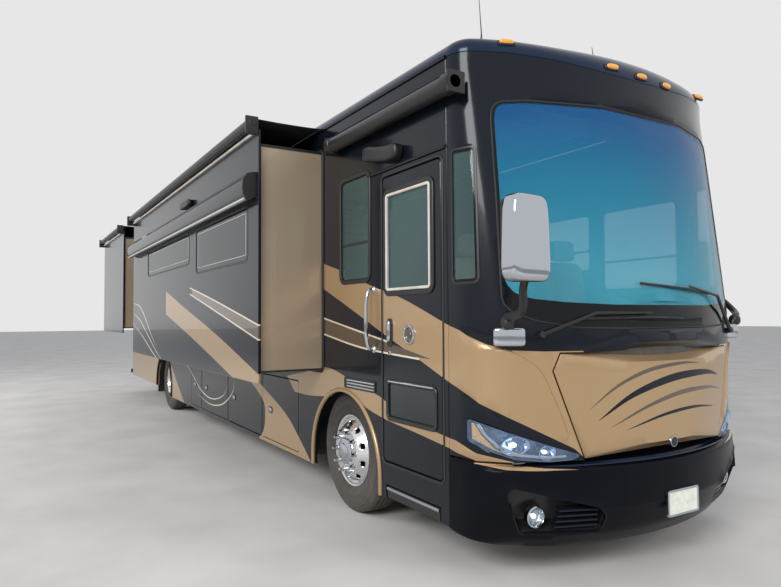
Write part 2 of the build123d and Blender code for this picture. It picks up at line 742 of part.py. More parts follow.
def wheel_disc(centre, out, axle_y):
    """One wheel with its hand holes, its disc bulging towards out (+1 or -1 along X)."""
    section_plane = Plane(origin=(centre, axle_y, tyre_radius), x_dir=(0, 0, 1), z_dir=(0, -1, 0))
    with BuildSketch(section_plane) as section:
        with BuildLine():
            Polyline(*[(radius, -out * offset) for radius, offset in wheel_section], close=True)
        make_face()
    revolve(section.sketch, axis=Axis((0, axle_y, tyre_radius), (1, 0, 0)))
    for step in range(10):
        angle = math.radians(36.0 * step + 18.0)
        cross_bar(
            hand_hole, (centre + out * 80.0, centre + out * 190.0),
            axle_y + hand_hole_circle * math.cos(angle), tyre_radius + hand_hole_circle * math.sin(angle),
            Mode.SUBTRACT,
        )


for name, side, axle_y, wheel_x, count in wheels:
    with BuildPart() as tyre:
        for twin in range(count):
            centre = side * (wheel_x - twin * twin_spacing)
            with BuildSketch(Plane(origin=(centre, axle_y, tyre_radius), x_dir=(0, 0, 1), z_dir=(0, -1, 0))):
                with BuildLine():
                    Line((rim_radius + 1, -98.0), (rim_radius + 1, 98.0))
                    ThreePointArc((rim_radius + 1, 98.0), (395.0, half_tyre), (485.0, 112.0))
                    ThreePointArc((485.0, 112.0), (502.0, 85.0), (tyre_radius, 60.0))
                    Line((tyre_radius, 60.0), (tyre_radius, -60.0))
                    ThreePointArc((tyre_radius, -60.0), (502.0, -85.0), (485.0, -112.0))
                    ThreePointArc((485.0, -112.0), (395.0, -half_tyre), (rim_radius + 1, -98.0))
                make_face()
            revolve(axis=Axis((0, axle_y, tyre_radius), (1, 0, 0)))
    tyre.part.label = "tyre_" + name
    export_step(tyre.part, "parts/tyre_" + name + ".step")

    # The twins meet disc to disc, so the outer one is turned round; a brake drum sits behind
    with BuildPart() as rim:
        centre = side * wheel_x
        out = side if count == 1 else -side
        wheel_disc(centre, out, axle_y)
        if count == 1:
            face = centre + side * wheel_offset
            cross_bar(110.0, (centre + side * 60.0, face + side * 12.0), axle_y, tyre_radius)
            cross_bar(84.0, (face, face + side * 34.0), axle_y, tyre_radius)
            cross_bar(205.0, (centre - side * 110.0, centre + side * 64.0), axle_y, tyre_radius)
            drum_bore = (centre - side * 111.0, centre + side * 50.0)
            cross_bar(190.0, drum_bore, axle_y, tyre_radius, Mode.SUBTRACT)
            cross_bar(39.0, (centre, face - side * 10.0), axle_y, tyre_radius, Mode.SUBTRACT)
        else:
            wheel_disc(side * (wheel_x - twin_spacing), side, axle_y)
            face = centre - side * (wheel_offset - disc_thickness)
            cross_bar(112.0, (side * 600.0, face + side * 120.0), axle_y, tyre_radius)
            cross_bar(90.0, (face + side * 120.0, face + side * 175.0), axle_y, tyre_radius)
            cross_bar(205.0, (side * 600.0, side * 775.0), axle_y, tyre_radius)
            cross_bar(59.0, (side * 590.0, side * 980.0), axle_y, tyre_radius, Mode.SUBTRACT)
        for step in range(10):
            angle = math.radians(36.0 * step)
            cross_bar(
                14.0, (face - side * 2.0, face + side * stud_length),
                axle_y + stud_circle * math.cos(angle), tyre_radius + stud_circle * math.sin(angle),
            )
    rim.part.label = "rim_" + name
    export_step(rim.part, "parts/rim_" + name + ".step")

# Entry door with its two windows, and the step that slides out below it
upper_light = (-1322.0, -709.0, 1800.0, 2555.0)
lower_light = (-1346.0, -731.0, 880.0, 1150.0)
with BuildPart() as entry_door:
    block((-half_width, -half_width + leaf), (aft(door_front), aft(door_rear)), (door_bottom, door_top))
    for front, rear, low, high in (upper_light, lower_light):
        side_window((-half_width - 10, -half_width + leaf + 10), (aft(front), aft(rear)), (low, high), 40.0,
                    Mode.SUBTRACT)
    side_hinges(DOOR, aft(door_front) - 4.0, (720.0, 1480.0, 2600.0))
entry_door.part.label = "entry_door"
export_step(entry_door.part, "parts/entry_door.step")

with BuildPart() as entry_door_glass:
    for front, rear, low, high in (upper_light, lower_light):
        side_window((-half_width + 8, -half_width + 14), (aft(front), aft(rear)), (low, high), 40.0)
entry_door_glass.part.label = "entry_door_glass"
export_step(entry_door_glass.part, "parts/entry_door_glass.step")

with BuildPart() as entry_step:
    block((-half_width + 5, -half_width + 330), (aft(door_front + 45), aft(door_rear - 45)), (345.0, 375.0))
    block((-half_width + 5, -half_width + 25), (aft(door_front + 45), aft(door_rear - 45)), (295.0, 375.0))
entry_step.part.label = "entry_step"
export_step(entry_step.part, "parts/entry_step.step")

# Window glass of the side walls and the quarter lights in the front cap
with BuildPart() as quarter_glass:
    for side in (DOOR, DRIVER):
        quarter_prism(side, Mode.ADD)
    add(glass_outer, mode=Mode.INTERSECT)
    add(glass_inner, mode=Mode.SUBTRACT)

with BuildPart() as side_windows:
    for side, front, rear, low, high in wall_windows:
        pane = (side * (half_width - 8), side * (half_width - 14))
        side_window(pane, (aft(front), aft(rear)), (low, high), 60.0)
    add(quarter_glass.part)
side_windows.part.label = "side_windows"
export_step(side_windows.part, "parts/side_windows.step")

# Slide-outs, shown run out: a five-sided box behind a lapped fascia
topper_radius = 46.0
awning_depth = 125.0
for name, side, front, rear, slide_floor, windows in slides:
    inner_edge = half_width - wall - 10.0
    with BuildPart() as slide_box:
        block((side * slide_reach, side * (slide_reach - fascia)), (aft(front), aft(rear)),
              (slide_floor - 85.0, fascia_top))
        block((side * (slide_reach - fascia), side * inner_edge),
              (aft(front + fascia_lap), aft(rear - fascia_lap)), (slide_floor, slide_top))
        block((side * (slide_reach - fascia), side * (inner_edge - 10)),
              (aft(front + fascia_lap + slide_wall), aft(rear - fascia_lap - slide_wall)),
              (slide_floor + slide_wall, slide_top - slide_wall), Mode.SUBTRACT)
        for w_front, w_rear, low, high in windows:
            side_window((side * (slide_reach + 10), side * (slide_reach - 2 * fascia)),
                        (aft(w_front), aft(w_rear)), (low, high), 60.0, Mode.SUBTRACT)
    slide_box.part.label = name
    export_step(slide_box.part, "parts/" + name + ".step")

    if windows:
        with BuildPart() as slide_glass:
            for w_front, w_rear, low, high in windows:
                side_window((side * (slide_reach - 8), side * (slide_reach - 14)),
                            (aft(w_front), aft(w_rear)), (low, high), 60.0)
        slide_glass.part.label = name + "_glass"
        export_step(slide_glass.part, "parts/" + name + "_glass.step")

    with BuildPart() as slide_awnings:
        roller_x = side * (slide_reach + topper_radius + 6)
        bracket_x = side * (slide_reach + 2 * topper_radius + 20)
        long_bar(topper_radius, roller_x, (aft(front), aft(rear)), fascia_top + 50)
        for end in (front, rear - 30.0):
            bracket_z = (fascia_top - 60, fascia_top + 105)
            block((side * slide_reach, bracket_x), (aft(end), aft(end + 30)), bracket_z)
        if windows:
            with BuildSketch(Plane.XZ.offset(-aft(rear - 60))) as case:
                with Locations((side * (slide_reach + awning_depth / 2), 2770.0)):
                    RectangleRounded(awning_depth, 200.0, 45.0)
            extrude(case.sketch, amount=rear - front - 120.0)
    slide_awnings.part.label = name + "_awnings"
    export_step(slide_awnings.part, "parts/" + name + "_awnings.step")

# Bay doors
for name, side, front, rear in bay_doors:
    with BuildPart() as bay_door:
        leaf_x = (side * half_width, side * (half_width - bay_leaf))
        block(leaf_x, (aft(front), aft(rear)), (bay_bottom, bay_top))
        side_hinges(side, aft(front) - 3.0, (bay_bottom + 90.0, bay_top - 90.0))
    bay_door.part.label = name
    export_step(bay_door.part, "parts/" + name + ".step")

# Cab: dashboard with the steering wheel, two seats and the overhead cabinet
with BuildPart() as dashboard:
    with BuildSketch(Plane.YZ.offset(-1200.0)):
        with BuildLine():
            Polyline(
                (aft(-2200.0), 1490.0), (aft(-1800.0), 1540.0), (aft(-1640.0), 1480.0),
                (aft(-1650.0), 1300.0), (aft(-1800.0), deck_top), (aft(-2200.0), deck_top), close=True,
            )
        make_face()
    extrude(amount=2400.0)
    extrude(
        nose_plan(deck_top, aft(-2160.0), aft(-1400.0), wall + 10.0), amount=600.0, mode=Mode.INTERSECT,
    )
    rod((620.0, aft(-1700.0), 1380.0), (620.0, aft(-1455.0), 1533.0), 35.0)
    wheel_plane = Plane(origin=(620.0, aft(-1460.0), 1530.0), z_dir=(0, 225, 140))
    with BuildSketch(wheel_plane):
        Circle(225.0)
        Circle(200.0, mode=Mode.SUBTRACT)
        Rectangle(410.0, 30.0)
        Circle(60.0)
    extrude(amount=25.0)
dashboard.part.label = "dashboard"
export_step(dashboard.part, "parts/dashboard.step")

# Cushion, back and headrest: (half width, front, rear, low, high) from the middle of the seat
seat_blocks = [
    (260.0, -260.0, 260.0, 240.0, 400.0),
    (250.0, 160.0, 290.0, 400.0, 980.0),
    (150.0, 180.0, 270.0, 980.0, 1180.0),
]
with BuildPart() as cab_seats:
    for seat_x, seat_y in ((600.0, -900.0), (-420.0, -900.0)):
        with Locations((seat_x, aft(seat_y), deck_top + 120)):
            Cylinder(120.0, 240.0)
        for half, front, rear, low, high in seat_blocks:
            block(
                (seat_x - half, seat_x + half), (aft(seat_y + front), aft(seat_y + rear)),
                (deck_top + low, deck_top + high),
            )
cab_seats.part.label = "cab_seats"
export_step(cab_seats.part, "parts/cab_seats.step")

with BuildPart() as cabin_fittings:
    block((-1000.0, 1000.0), (aft(-1690.0), aft(-1380.0)), (3020.0, 3350.0))
cabin_fittings.part.label = "cabin_fittings"
export_step(cabin_fittings.part, "parts/cabin_fittings.step")

# Outside fittings
# Mirror heads: (side, distance out, distance behind the axle, turn), the driver's one folded back
mirror_z = 2035.0
mirror_places = [(DOOR, 1372.0, 60.0 - front_reach, 0.0), (DRIVER, 1412.0, -1470.0, 84.0)]
arm_elbows = [(1235.0, -2120.0, 1650.0), (1300.0, -1845.0, 1650.0)]

with BuildPart() as mirror_head:
    with BuildSketch(Plane.XZ.offset(-60.0)):
        RectangleRounded(310.0, 470.0, 70.0)
    extrude(amount=120.0)
    fillet(mirror_head.faces().sort_by(Axis.Y)[0].edges(), 40.0)
    with BuildSketch(Plane.XZ.offset(-60.0)) as glass_recess:
        RectangleRounded(280.0, 440.0, 56.0)
    extrude(glass_recess.sketch, amount=6.0, mode=Mode.SUBTRACT)

with BuildPart() as mirrors:
    for place, elbow in zip(mirror_places, arm_elbows):
        side, mirror_x, mirror_y, turn = place
        add(mirror_head.part.moved(Location((side * mirror_x, aft(mirror_y), mirror_z), (0, 0, turn))))
        bend = (side * elbow[0], aft(elbow[1]), elbow[2])
        neck = (side * (mirror_x - 20.0), aft(mirror_y), mirror_z - 225.0)
        rod(neck, bend, 22.0)
        rod(bend, (side * 1120.0, aft(-1885.0), 1585.0), 24.0)
        with Locations(bend):
            Sphere(32.0)
        rod((side * 1120.0, aft(-1885.0), 1620.0), (side * 1120.0, aft(-1885.0), 1540.0), 35.0)
        with Locations(Location((side * 1120.0, aft(-1880.0), 1500.0), (0, 0, side * 42))):
            Box(190.0, 90.0, 106.0)
    add(cap_outer, mode=Mode.SUBTRACT)
    add(windshield.part, mode=Mode.SUBTRACT)
mirrors.part.label = "mirrors"
export_step(mirrors.part, "parts/mirrors.step")

# Wipers parked along the foot of the glass: pivot, elbow and tip of the arm, then the blade
wiper_runs = [
    [(-965.0, -2025.0, 1490.0), (-640.0, -2118.0, 1640.0), (-209.0, -2190.0, 1640.0)],
    [(965.0, -2025.0, 1490.0), (621.0, -2112.0, 1762.0), (212.0, -2172.0, 1818.0)],
]
blade_runs = [
    [(-720.0, -2090.0, 1606.0), (-209.0, -2192.0, 1612.0), (114.0, -2198.0, 1604.0)],
    [(499.0, -2128.0, 1772.0), (212.0, -2168.0, 1800.0), (-263.0, -2164.0, 1828.0)],
]
with BuildPart() as wipers:
    for run, blade in zip(wiper_runs, blade_runs):
        pivot, elbow, tip = [(x, aft(y), z) for x, y, z in run]
        heel, middle, toe = [(x, aft(y), z) for x, y, z in blade]
        rod((pivot[0], aft(-1960.0), pivot[2] - 10.0), pivot, 22.0)
        rod(pivot, elbow, 13.0)
        rod(elbow, tip, 8.0)
        rod(tip, middle, 7.0)
        rod(heel, middle, 8.0)
        rod(middle, toe, 8.0)
    add(cap_outer, mode=Mode.SUBTRACT)
wipers.part.label = "wipers"
export_step(wipers.part, "parts/wipers.step")

# Amber marker lamps on the brow, as (x, distance behind the axle), and red lamps on the tail
marker_lamps = [(-1000.0, -1700.0), (-280.0, -1880.0), (0.0, -1890.0), (280.0, -1880.0), (1000.0, -1700.0)]
with BuildPart() as small_lamps:
    for lamp_x, lamp_y in marker_lamps:
        with Locations((lamp_x, aft(lamp_y), 3440.0)):
            Box(110.0, 60.0, 60.0)
    for side in (DOOR, DRIVER):
        block((side * 1010.0, side * 1130.0), (aft(rear_face) - 5, aft(rear_face) + 30), (900.0, 1350.0))
    add(cap_outer, mode=Mode.SUBTRACT)
    add(rear_outer, mode=Mode.SUBTRACT)
small_lamps.part.label = "small_lamps"
export_step(small_lamps.part, "parts/small_lamps.step")

# Roof: two air conditioners and vents
with BuildPart() as roof_units:
    for station in (1500.0, 6900.0):
        with BuildSketch(Plane.XY.offset(3440.0)) as shroud:
            with Locations((0, aft(station))):
                RectangleRounded(700.0, 1050.0, 90.0)
        extrude(shroud.sketch, amount=310.0, taper=12)
    for vent_x, station in ((-350.0, 3300.0), (300.0, 4700.0), (0.0, 8800.0)):
        with BuildSketch(Plane.XY.offset(3440.0)) as vent_lid:
            with Locations((vent_x, aft(station))):
                RectangleRounded(420.0, 420.0, 50.0)
        extrude(vent_lid.sketch, amount=120.0, taper=14)
    add(roof.part, mode=Mode.SUBTRACT)
    extrude(
        crown_section(aft(rear_seam), 0.0, 0.0), amount=rear_seam - cap_seam, mode=Mode.SUBTRACT,
    )
roof_units.part.label = "roof_units"
export_step(roof_units.part, "parts/roof_units.step")

# Door awning on the wall above the entry door, and the grab handle beside it
with BuildPart() as door_awning:
    long_bar(65.0, -half_width - 75.0, (aft(-1690.0), aft(100.0)), 3080.0)
    for end in (-1690.0, 60.0):
        with BuildSketch(Plane.XZ.offset(-aft(end + 40.0))) as arm_cap:
            with Locations((-half_width - 75.0, 3080.0)):
                RectangleRounded(150.0, 160.0, 50.0)
        extrude(arm_cap.sketch, amount=40.0)
    add(cap_outer, mode=Mode.SUBTRACT)
door_awning.part.label = "door_awning"
export_step(door_awning.part, "parts/door_awning.step")

handle_x = -half_width - 60.0
handle_ends = (1350.0, 1855.0)
with BuildPart() as grab_handle:
    for foot_z in (handle_ends[0] + 25.0, handle_ends[1] - 25.0):
        cross_bar(11.0, (handle_x, -half_width), aft(-520.0), foot_z)
    with BuildLine() as bow:
        ThreePointArc(
            (handle_x, aft(-520.0), handle_ends[0]),
            (handle_x - 14.0, aft(-520.0), sum(handle_ends) / 2),
            (handle_x, aft(-520.0), handle_ends[1]),
        )
    with BuildSketch(Plane(origin=bow.line @ 0, z_dir=bow.line % 0)) as grip:
        Circle(15.0)
    sweep(grip.sketch, path=bow.line)
grab_handle.part.label = "grab_handle"
export_step(grab_handle.part, "parts/grab_handle.step")
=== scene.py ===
import json
import math

import bmesh
import bpy
from mathutils import Matrix, Vector
from mathutils.bvhtree import BVHTree
from mathutils.geometry import delaunay_2d_cdt, intersect_point_line


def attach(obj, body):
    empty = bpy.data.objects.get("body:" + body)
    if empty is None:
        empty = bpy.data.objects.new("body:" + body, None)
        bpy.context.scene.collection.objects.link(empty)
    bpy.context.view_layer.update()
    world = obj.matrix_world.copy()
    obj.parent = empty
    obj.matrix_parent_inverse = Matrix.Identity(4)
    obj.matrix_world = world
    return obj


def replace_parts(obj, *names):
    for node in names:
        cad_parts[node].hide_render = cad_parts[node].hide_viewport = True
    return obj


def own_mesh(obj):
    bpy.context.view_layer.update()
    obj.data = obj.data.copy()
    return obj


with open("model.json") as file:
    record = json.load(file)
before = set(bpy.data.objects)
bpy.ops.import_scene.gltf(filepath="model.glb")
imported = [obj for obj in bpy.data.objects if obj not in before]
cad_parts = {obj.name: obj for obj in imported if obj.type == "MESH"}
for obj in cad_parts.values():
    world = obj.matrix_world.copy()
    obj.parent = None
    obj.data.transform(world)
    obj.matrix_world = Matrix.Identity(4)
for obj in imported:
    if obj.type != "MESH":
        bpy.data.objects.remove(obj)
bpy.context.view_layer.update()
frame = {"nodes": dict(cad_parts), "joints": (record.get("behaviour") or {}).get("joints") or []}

# The frame: metres, -Y towards the nose, -X the entry door side, +Z up.
# Stations along the body are distances behind the front axle, as in the solids.
DOOR = -1
DRIVER = 1
AXLE = next(j for j in frame["joints"] if j["name"] == "front_right_spin")["pos_m"][1]
REAR_AXLE = next(j for j in frame["joints"] if j["name"] == "rear_right_spin")["pos_m"][1]
HUB_Z = 0.505
HALF = 1.283
CAP_SEAM = -1.489
REAR_SEAM = 10.33
REAR_FACE = 10.5
SKIRT_BOTTOM = 0.285
REAR_SKIRT_BOTTOM = 0.385
EAVE = 3.33
SHOULDER = 3.43
CROWN = 3.475
EAVE_ROUND = 0.1
ROOF_HALF = HALF - EAVE_ROUND
SLIDE_X = 1.897
SIDES = ((DOOR, "right"), (DRIVER, "left"))


def aft(station):
    return AXLE + station


def roof_z(x):
    """Height of the roof's bow."""
    return SHOULDER + (CROWN - SHOULDER) * (1 - (x / ROOF_HALF) ** 2)


# Materials


def wired(tree, kind, values=None, sources=None, **settings):
    """New node with its settings, its plain input values and the sockets that feed it."""
    node = tree.nodes.new(kind)
    for key, value in settings.items():
        setattr(node, key, value)
    for key, value in (values or {}).items():
        node.inputs[key].default_value = value
    for key, socket in (sources or {}).items():
        tree.links.new(socket, node.inputs[key])
    return node


def shader(name, base, rough=0.5, metal=0.0, coat=0.0, ior=1.5, alpha=1.0, emission=0.0):
    """New node material with its plain values on the shader's own sockets."""
    mat = bpy.data.materials.new(name)
    mat.use_nodes = True
    sockets = mat.node_tree.nodes["Principled BSDF"].inputs
    for key, value in (("Base Color", (*base, 1.0)), ("Roughness", rough), ("Metallic", metal),
                       ("Coat Weight", coat), ("Coat Roughness", 0.03), ("IOR", ior), ("Alpha", alpha)):
        sockets[key].default_value = value
    if emission:
        sockets["Emission Color"].default_value = (*base, 1.0)
        sockets["Emission Strength"].default_value = emission
    return mat


def placed(mat, kind, scale=None):
    """New node that reads the object's own metres, so that its grain has a real size."""
    coords = mat.node_tree.nodes.new("ShaderNodeTexCoord")
    return wired(mat.node_tree, kind, {"Scale": scale} if scale else None,
                 {"Vector": coords.outputs["Object"]})


def noise(mat, scale, detail=3.0, stretch=(1, 1, 1)):
    mapping = placed(mat, "ShaderNodeMapping", stretch)
    return wired(mat.node_tree, "ShaderNodeTexNoise", {"Scale": scale, "Detail": detail},
                 {"Vector": mapping.outputs["Vector"]})


def vary(mat, texture, dark, light, socket="Base Color", low=0.35, high=0.65):
    """Texture drives a colour between two values, or a number between two."""
    tree = mat.node_tree
    if isinstance(dark, tuple):
        made = wired(tree, "ShaderNodeValToRGB", sources={"Fac": texture.outputs["Fac"]})
        for element, position, colour in zip(made.color_ramp.elements, (low, high), (dark, light)):
            element.position = position
            element.color = (*colour, 1.0)
    else:
        made = wired(tree, "ShaderNodeMapRange",
                     {"From Min": low, "From Max": high, "To Min": dark, "To Max": light},
                     {"Value": texture.outputs["Fac"]})
    tree.links.new(made.outputs[0], tree.nodes["Principled BSDF"].inputs[socket])
    return made


def bump(mat, texture, strength, distance, output="Fac"):
    tree = mat.node_tree
    normal = tree.nodes["Principled BSDF"].inputs["Normal"]
    node = wired(tree, "ShaderNodeBump", {"Strength": strength, "Distance": distance},
                 {"Height": texture.outputs[output]})
    if normal.links:
        tree.links.new(normal.links[0].from_socket, node.inputs["Normal"])
    tree.links.new(node.outputs["Normal"], normal)


def dusty(mat, top=0.95, most=0.02):
    """Road dust that thickens towards the ground, over whatever colour the paint has."""
    tree = mat.node_tree
    colour = tree.nodes["Principled BSDF"].inputs["Base Color"]
    split = placed(mat, "ShaderNodeSeparateXYZ")
    height = wired(tree, "ShaderNodeMapRange", {"From Min": top, "From Max": 0.2, "To Max": most},
                   {"Value": split.outputs["Z"]})
    times = wired(tree, "ShaderNodeMath", sources={0: height.outputs["Result"],
                                                   1: noise(mat, 5.0, 6.0, (1, 1, 0.4)).outputs["Fac"]},
                  operation="MULTIPLY")
    mix = wired(tree, "ShaderNodeMix", sources={"Factor": times.outputs["Value"]}, data_type="RGBA")
    if colour.links:
        tree.links.new(colour.links[0].from_socket, mix.inputs["A"])
    else:
        mix.inputs["A"].default_value = colour.default_value
    mix.inputs["B"].default_value = (0.34, 0.29, 0.24, 1.0)
    tree.links.new(mix.outputs["Result"], colour)


def paint(name, dark, light, metal, rough, coat=1.0, gloss=1.5):
    """Clear-coated body paint: fine flake, a faint ripple in the panel, dust low down."""
    mat = shader(name, light, rough, metal, coat=coat, ior=gloss)
    mat.node_tree.nodes["Principled BSDF"].inputs["Coat IOR"].default_value = gloss
    vary(mat, noise(mat, 900.0, 2.0), dark, light)
    bump(mat, noise(mat, 1.6, 1.0), 0.05, 0.01)
    dusty(mat)
    return mat


def toned(name, base, rough, grain, dark, light, socket="Base Color", **more):
    """Shader that varies between two values; grain is the noise's scale, detail and stretch."""
    mat = shader(name, base, rough, **more)
    vary(mat, noise(mat, *grain), dark, light, socket)
    return mat


BLACK = paint("paint_black", (0.004, 0.006, 0.01), (0.008, 0.011, 0.018), 0.05, 0.2, 0.4, 1.27)
GOLD = paint("paint_gold", (0.39, 0.255, 0.13), (0.5, 0.34, 0.185), 0.5, 0.34, 0.7, 1.42)
BRONZE = paint("paint_bronze", (0.09, 0.06, 0.036), (0.125, 0.085, 0.052), 0.55, 0.33)
CREAM = paint("paint_cream", (0.66, 0.56, 0.42), (0.74, 0.64, 0.5), 0.1, 0.3)
NAVY = paint("paint_navy", (0.006, 0.014, 0.034), (0.011, 0.024, 0.055), 0.2, 0.2, 0.4, 1.28)
BUMPER_BLACK = paint("paint_bumper", (0.002, 0.0026, 0.005), (0.004, 0.0052, 0.009), 0.0, 0.26, 0.1,
                     1.15)
BODY_PAINTS = [BLACK, GOLD, BRONZE, CREAM, NAVY]
BLACK_ZONE, GOLD_ZONE, BRONZE_ZONE, CREAM_ZONE, NAVY_ZONE = range(5)

CHROME = toned("chrome", (0.52, 0.55, 0.6), 0.06, (14.0, 4.0), 0.04, 0.1, "Roughness", metal=1.0)
ALLOY = toned("polished_alloy", (0.8, 0.81, 0.82), 0.16, (60.0, 4.0), 0.1, 0.24, "Roughness", metal=1.0)
dusty(ALLOY, most=0.1)
RUBBER = shader("seal_rubber", (0.018, 0.018, 0.019), 0.62)
bump(RUBBER, noise(RUBBER, 300.0, 3.0), 0.2, 0.0006)
TRIM = shader("black_trim", (0.014, 0.014, 0.015), 0.38)
bump(TRIM, noise(TRIM, 420.0, 2.0), 0.25, 0.0005)
STEEL = toned("frame_steel", (0.03, 0.03, 0.032), 0.55, (9.0, 6.0), (0.02, 0.02, 0.021),
              (0.055, 0.048, 0.042), metal=0.2)
dusty(STEEL, most=0.35)
CAST = toned("cast_steel", (0.09, 0.085, 0.08), 0.72, (18.0, 6.0), (0.045, 0.04, 0.036), (0.13, 0.115, 0.1),
             metal=0.6)
bump(CAST, noise(CAST, 120.0, 4.0), 0.5, 0.002)
MEMBRANE = toned("roof_membrane", (0.7, 0.69, 0.66), 0.62, (2.4, 6.0), (0.56, 0.54, 0.5),
                 (0.76, 0.75, 0.72))
SHROUD = toned("unit_shroud", (0.74, 0.73, 0.7), 0.42, (3.0, 5.0), (0.64, 0.63, 0.6), (0.78, 0.77, 0.74))
LIGHT_TRIM = toned("pale_trim", (0.6, 0.56, 0.5), 0.45, (6.0, 4.0), (0.5, 0.46, 0.4), (0.64, 0.6, 0.54))


# Mesh building


def shown(name, mesh, body, smooth_angle):
    """Finished mesh as a piece that rides on a body, shaded smooth below an angle in degrees."""
    for face in mesh.polygons:
        face.use_smooth = True
    mesh.set_sharp_from_angle(angle=math.radians(smooth_angle))
    piece = bpy.data.objects.new(name, mesh)
    bpy.context.scene.collection.objects.link(piece)
    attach(piece, body)
    return piece


def mesh_object(name, verts, faces, mats, body, kinds=None, smooth_angle=35.0):
    """Piece made of points and faces; kinds holds each face's index in mats."""
    mesh = bpy.data.meshes.new(name)
    mesh.from_pydata([tuple(v) for v in verts], [], faces)
    for mat in mats:
        mesh.materials.append(mat)
    if kinds:
        for face, kind in zip(mesh.polygons, kinds):
            face.material_index = kind
    mesh.validate()
    return shown(name, mesh, body, smooth_angle)


def signed_area(loop):
    return sum(a[0] * b[1] - b[0] * a[1] for a, b in zip(loop, loop[1:] + loop[:1])) / 2


def outward(loop):
    """Outline turned so that its material lies to the left."""
    return loop if signed_area(loop) > 0 else loop[::-1]


def filled(loop):
    """Triangles that fill a closed outline."""
    edges = [(k, (k + 1) % len(loop)) for k in range(len(loop))]
    return delaunay_2d_cdt([Vector(p) for p in loop], edges, [], 1, 1e-6)[2]


def level(reach, z, count=60):
    """Line at one height from one end of a surface to the other."""
    return [(-reach + 2 * reach * k / count, z) for k in range(count + 1)]


def inside(point, loop):
    """Whether a flat point lies in a closed outline."""
    x, y = point
    odd = False
    for (x0, y0), (x1, y1) in zip(loop, loop[1:] + loop[:1]):
        if (y0 > y) != (y1 > y) and x < (x1 - x0) * (y - y0) / (y1 - y0) + x0:
            odd = not odd
    return odd


def grown(loop, distance):
    """Outline moved outwards, or inwards by a negative distance."""
    loop = outward(loop)
    moved = []
    count = len(loop)
    for k in range(count):
        before = Vector(loop[k]) - Vector(loop[k - 1])
        after = Vector(loop[(k + 1) % count]) - Vector(loop[k])
        n0 = Vector((before.y, -before.x)).normalized()
        n1 = Vector((after.y, -after.x)).normalized()
        mid = n0 + n1
        reach = mid.dot(n0)
        mid = mid / reach if reach > 0.4 else n0
        moved.append((loop[k][0] + mid.x * distance, loop[k][1] + mid.y * distance))
    return moved


def rounded(u0, u1, v0, v1, radius, turns=5):
    """Rounded rectangle between two pairs of limits."""
    u0, u1 = sorted((u0, u1))
    v0, v1 = sorted((v0, v1))
    loop = []
    for cu, cv, start in ((u1 - radius, v1 - radius, 0), (u0 + radius, v1 - radius, 90),
                          (u0 + radius, v0 + radius, 180), (u1 - radius, v0 + radius, 270)):
        for k in range(turns + 1):
            angle = math.radians(start + 90 * k / turns)
            loop.append((cu + radius * math.cos(angle), cv + radius * math.sin(angle)))
    return loop


def softened(points, radius, turns=4):
    """Closed outline with each corner rounded by up to a radius."""
    loop = []
    count = len(points)
    for k in range(count):
        here = Vector(points[k])
        back = Vector(points[k - 1]) - here
        on = Vector(points[(k + 1) % count]) - here
        reach = min(radius, back.length * 0.45, on.length * 0.45)
        start = here + back.normalized() * reach
        end = here + on.normalized() * reach
        for t in range(turns + 1):
            f = t / turns
            loop.append(tuple(start * (1 - f) ** 2 + here * 2 * f * (1 - f) + end * f * f))
    return loop


def curve_through(points, per_span=6):
    """Smooth open line through a few points."""
    pts = [Vector(p) for p in points]
    line = []
    for k in range(len(pts) - 1):
        p0 = pts[max(k - 1, 0)]
        p1, p2 = pts[k], pts[k + 1]
        p3 = pts[min(k + 2, len(pts) - 1)]
        for t in range(per_span):
            f = t / per_span
            line.append(tuple(0.5 * (2 * p1 + (p2 - p0) * f + (2 * p0 - 5 * p1 + 4 * p2 - p3) * f * f
                                     + (3 * p1 - p0 - 3 * p2 + p3) * f ** 3)))
    line.append(tuple(pts[-1]))
    return line


def stripe(points, width, taper=False):
    """Closed outline of a line of a given width, thin at its ends when tapered."""
    line = [Vector(p) for p in curve_through(points)]
    left, right = [], []
    for k, here in enumerate(line):
        along = line[min(k + 1, len(line) - 1)] - line[max(k - 1, 0)]
        across = Vector((-along.y, along.x)).normalized()
        f = k / (len(line) - 1)
        half = width / 2 * (max(math.sin(math.pi * f), 0.04) if taper else 1.0)
        left.append(tuple(here + across * half))
        right.append(tuple(here - across * half))
    return left + right[::-1]


def band(top, bottom):
    """Closed outline between two lines that run the same way."""
    return curve_through(top) + curve_through(bottom)[::-1]


def near_loop(point, loops, gap):
    spot = Vector((*point, 0))
    for loop in loops:
        for a, b in zip(loop, loop[1:] + loop[:1]):
            closest, along = intersect_point_line(spot, Vector((*a, 0)), Vector((*b, 0)))
            along = min(max(along, 0.0), 1.0)
            if (Vector((*a, 0)).lerp(Vector((*b, 0)), along) - spot).length < gap:
                return True
    return False


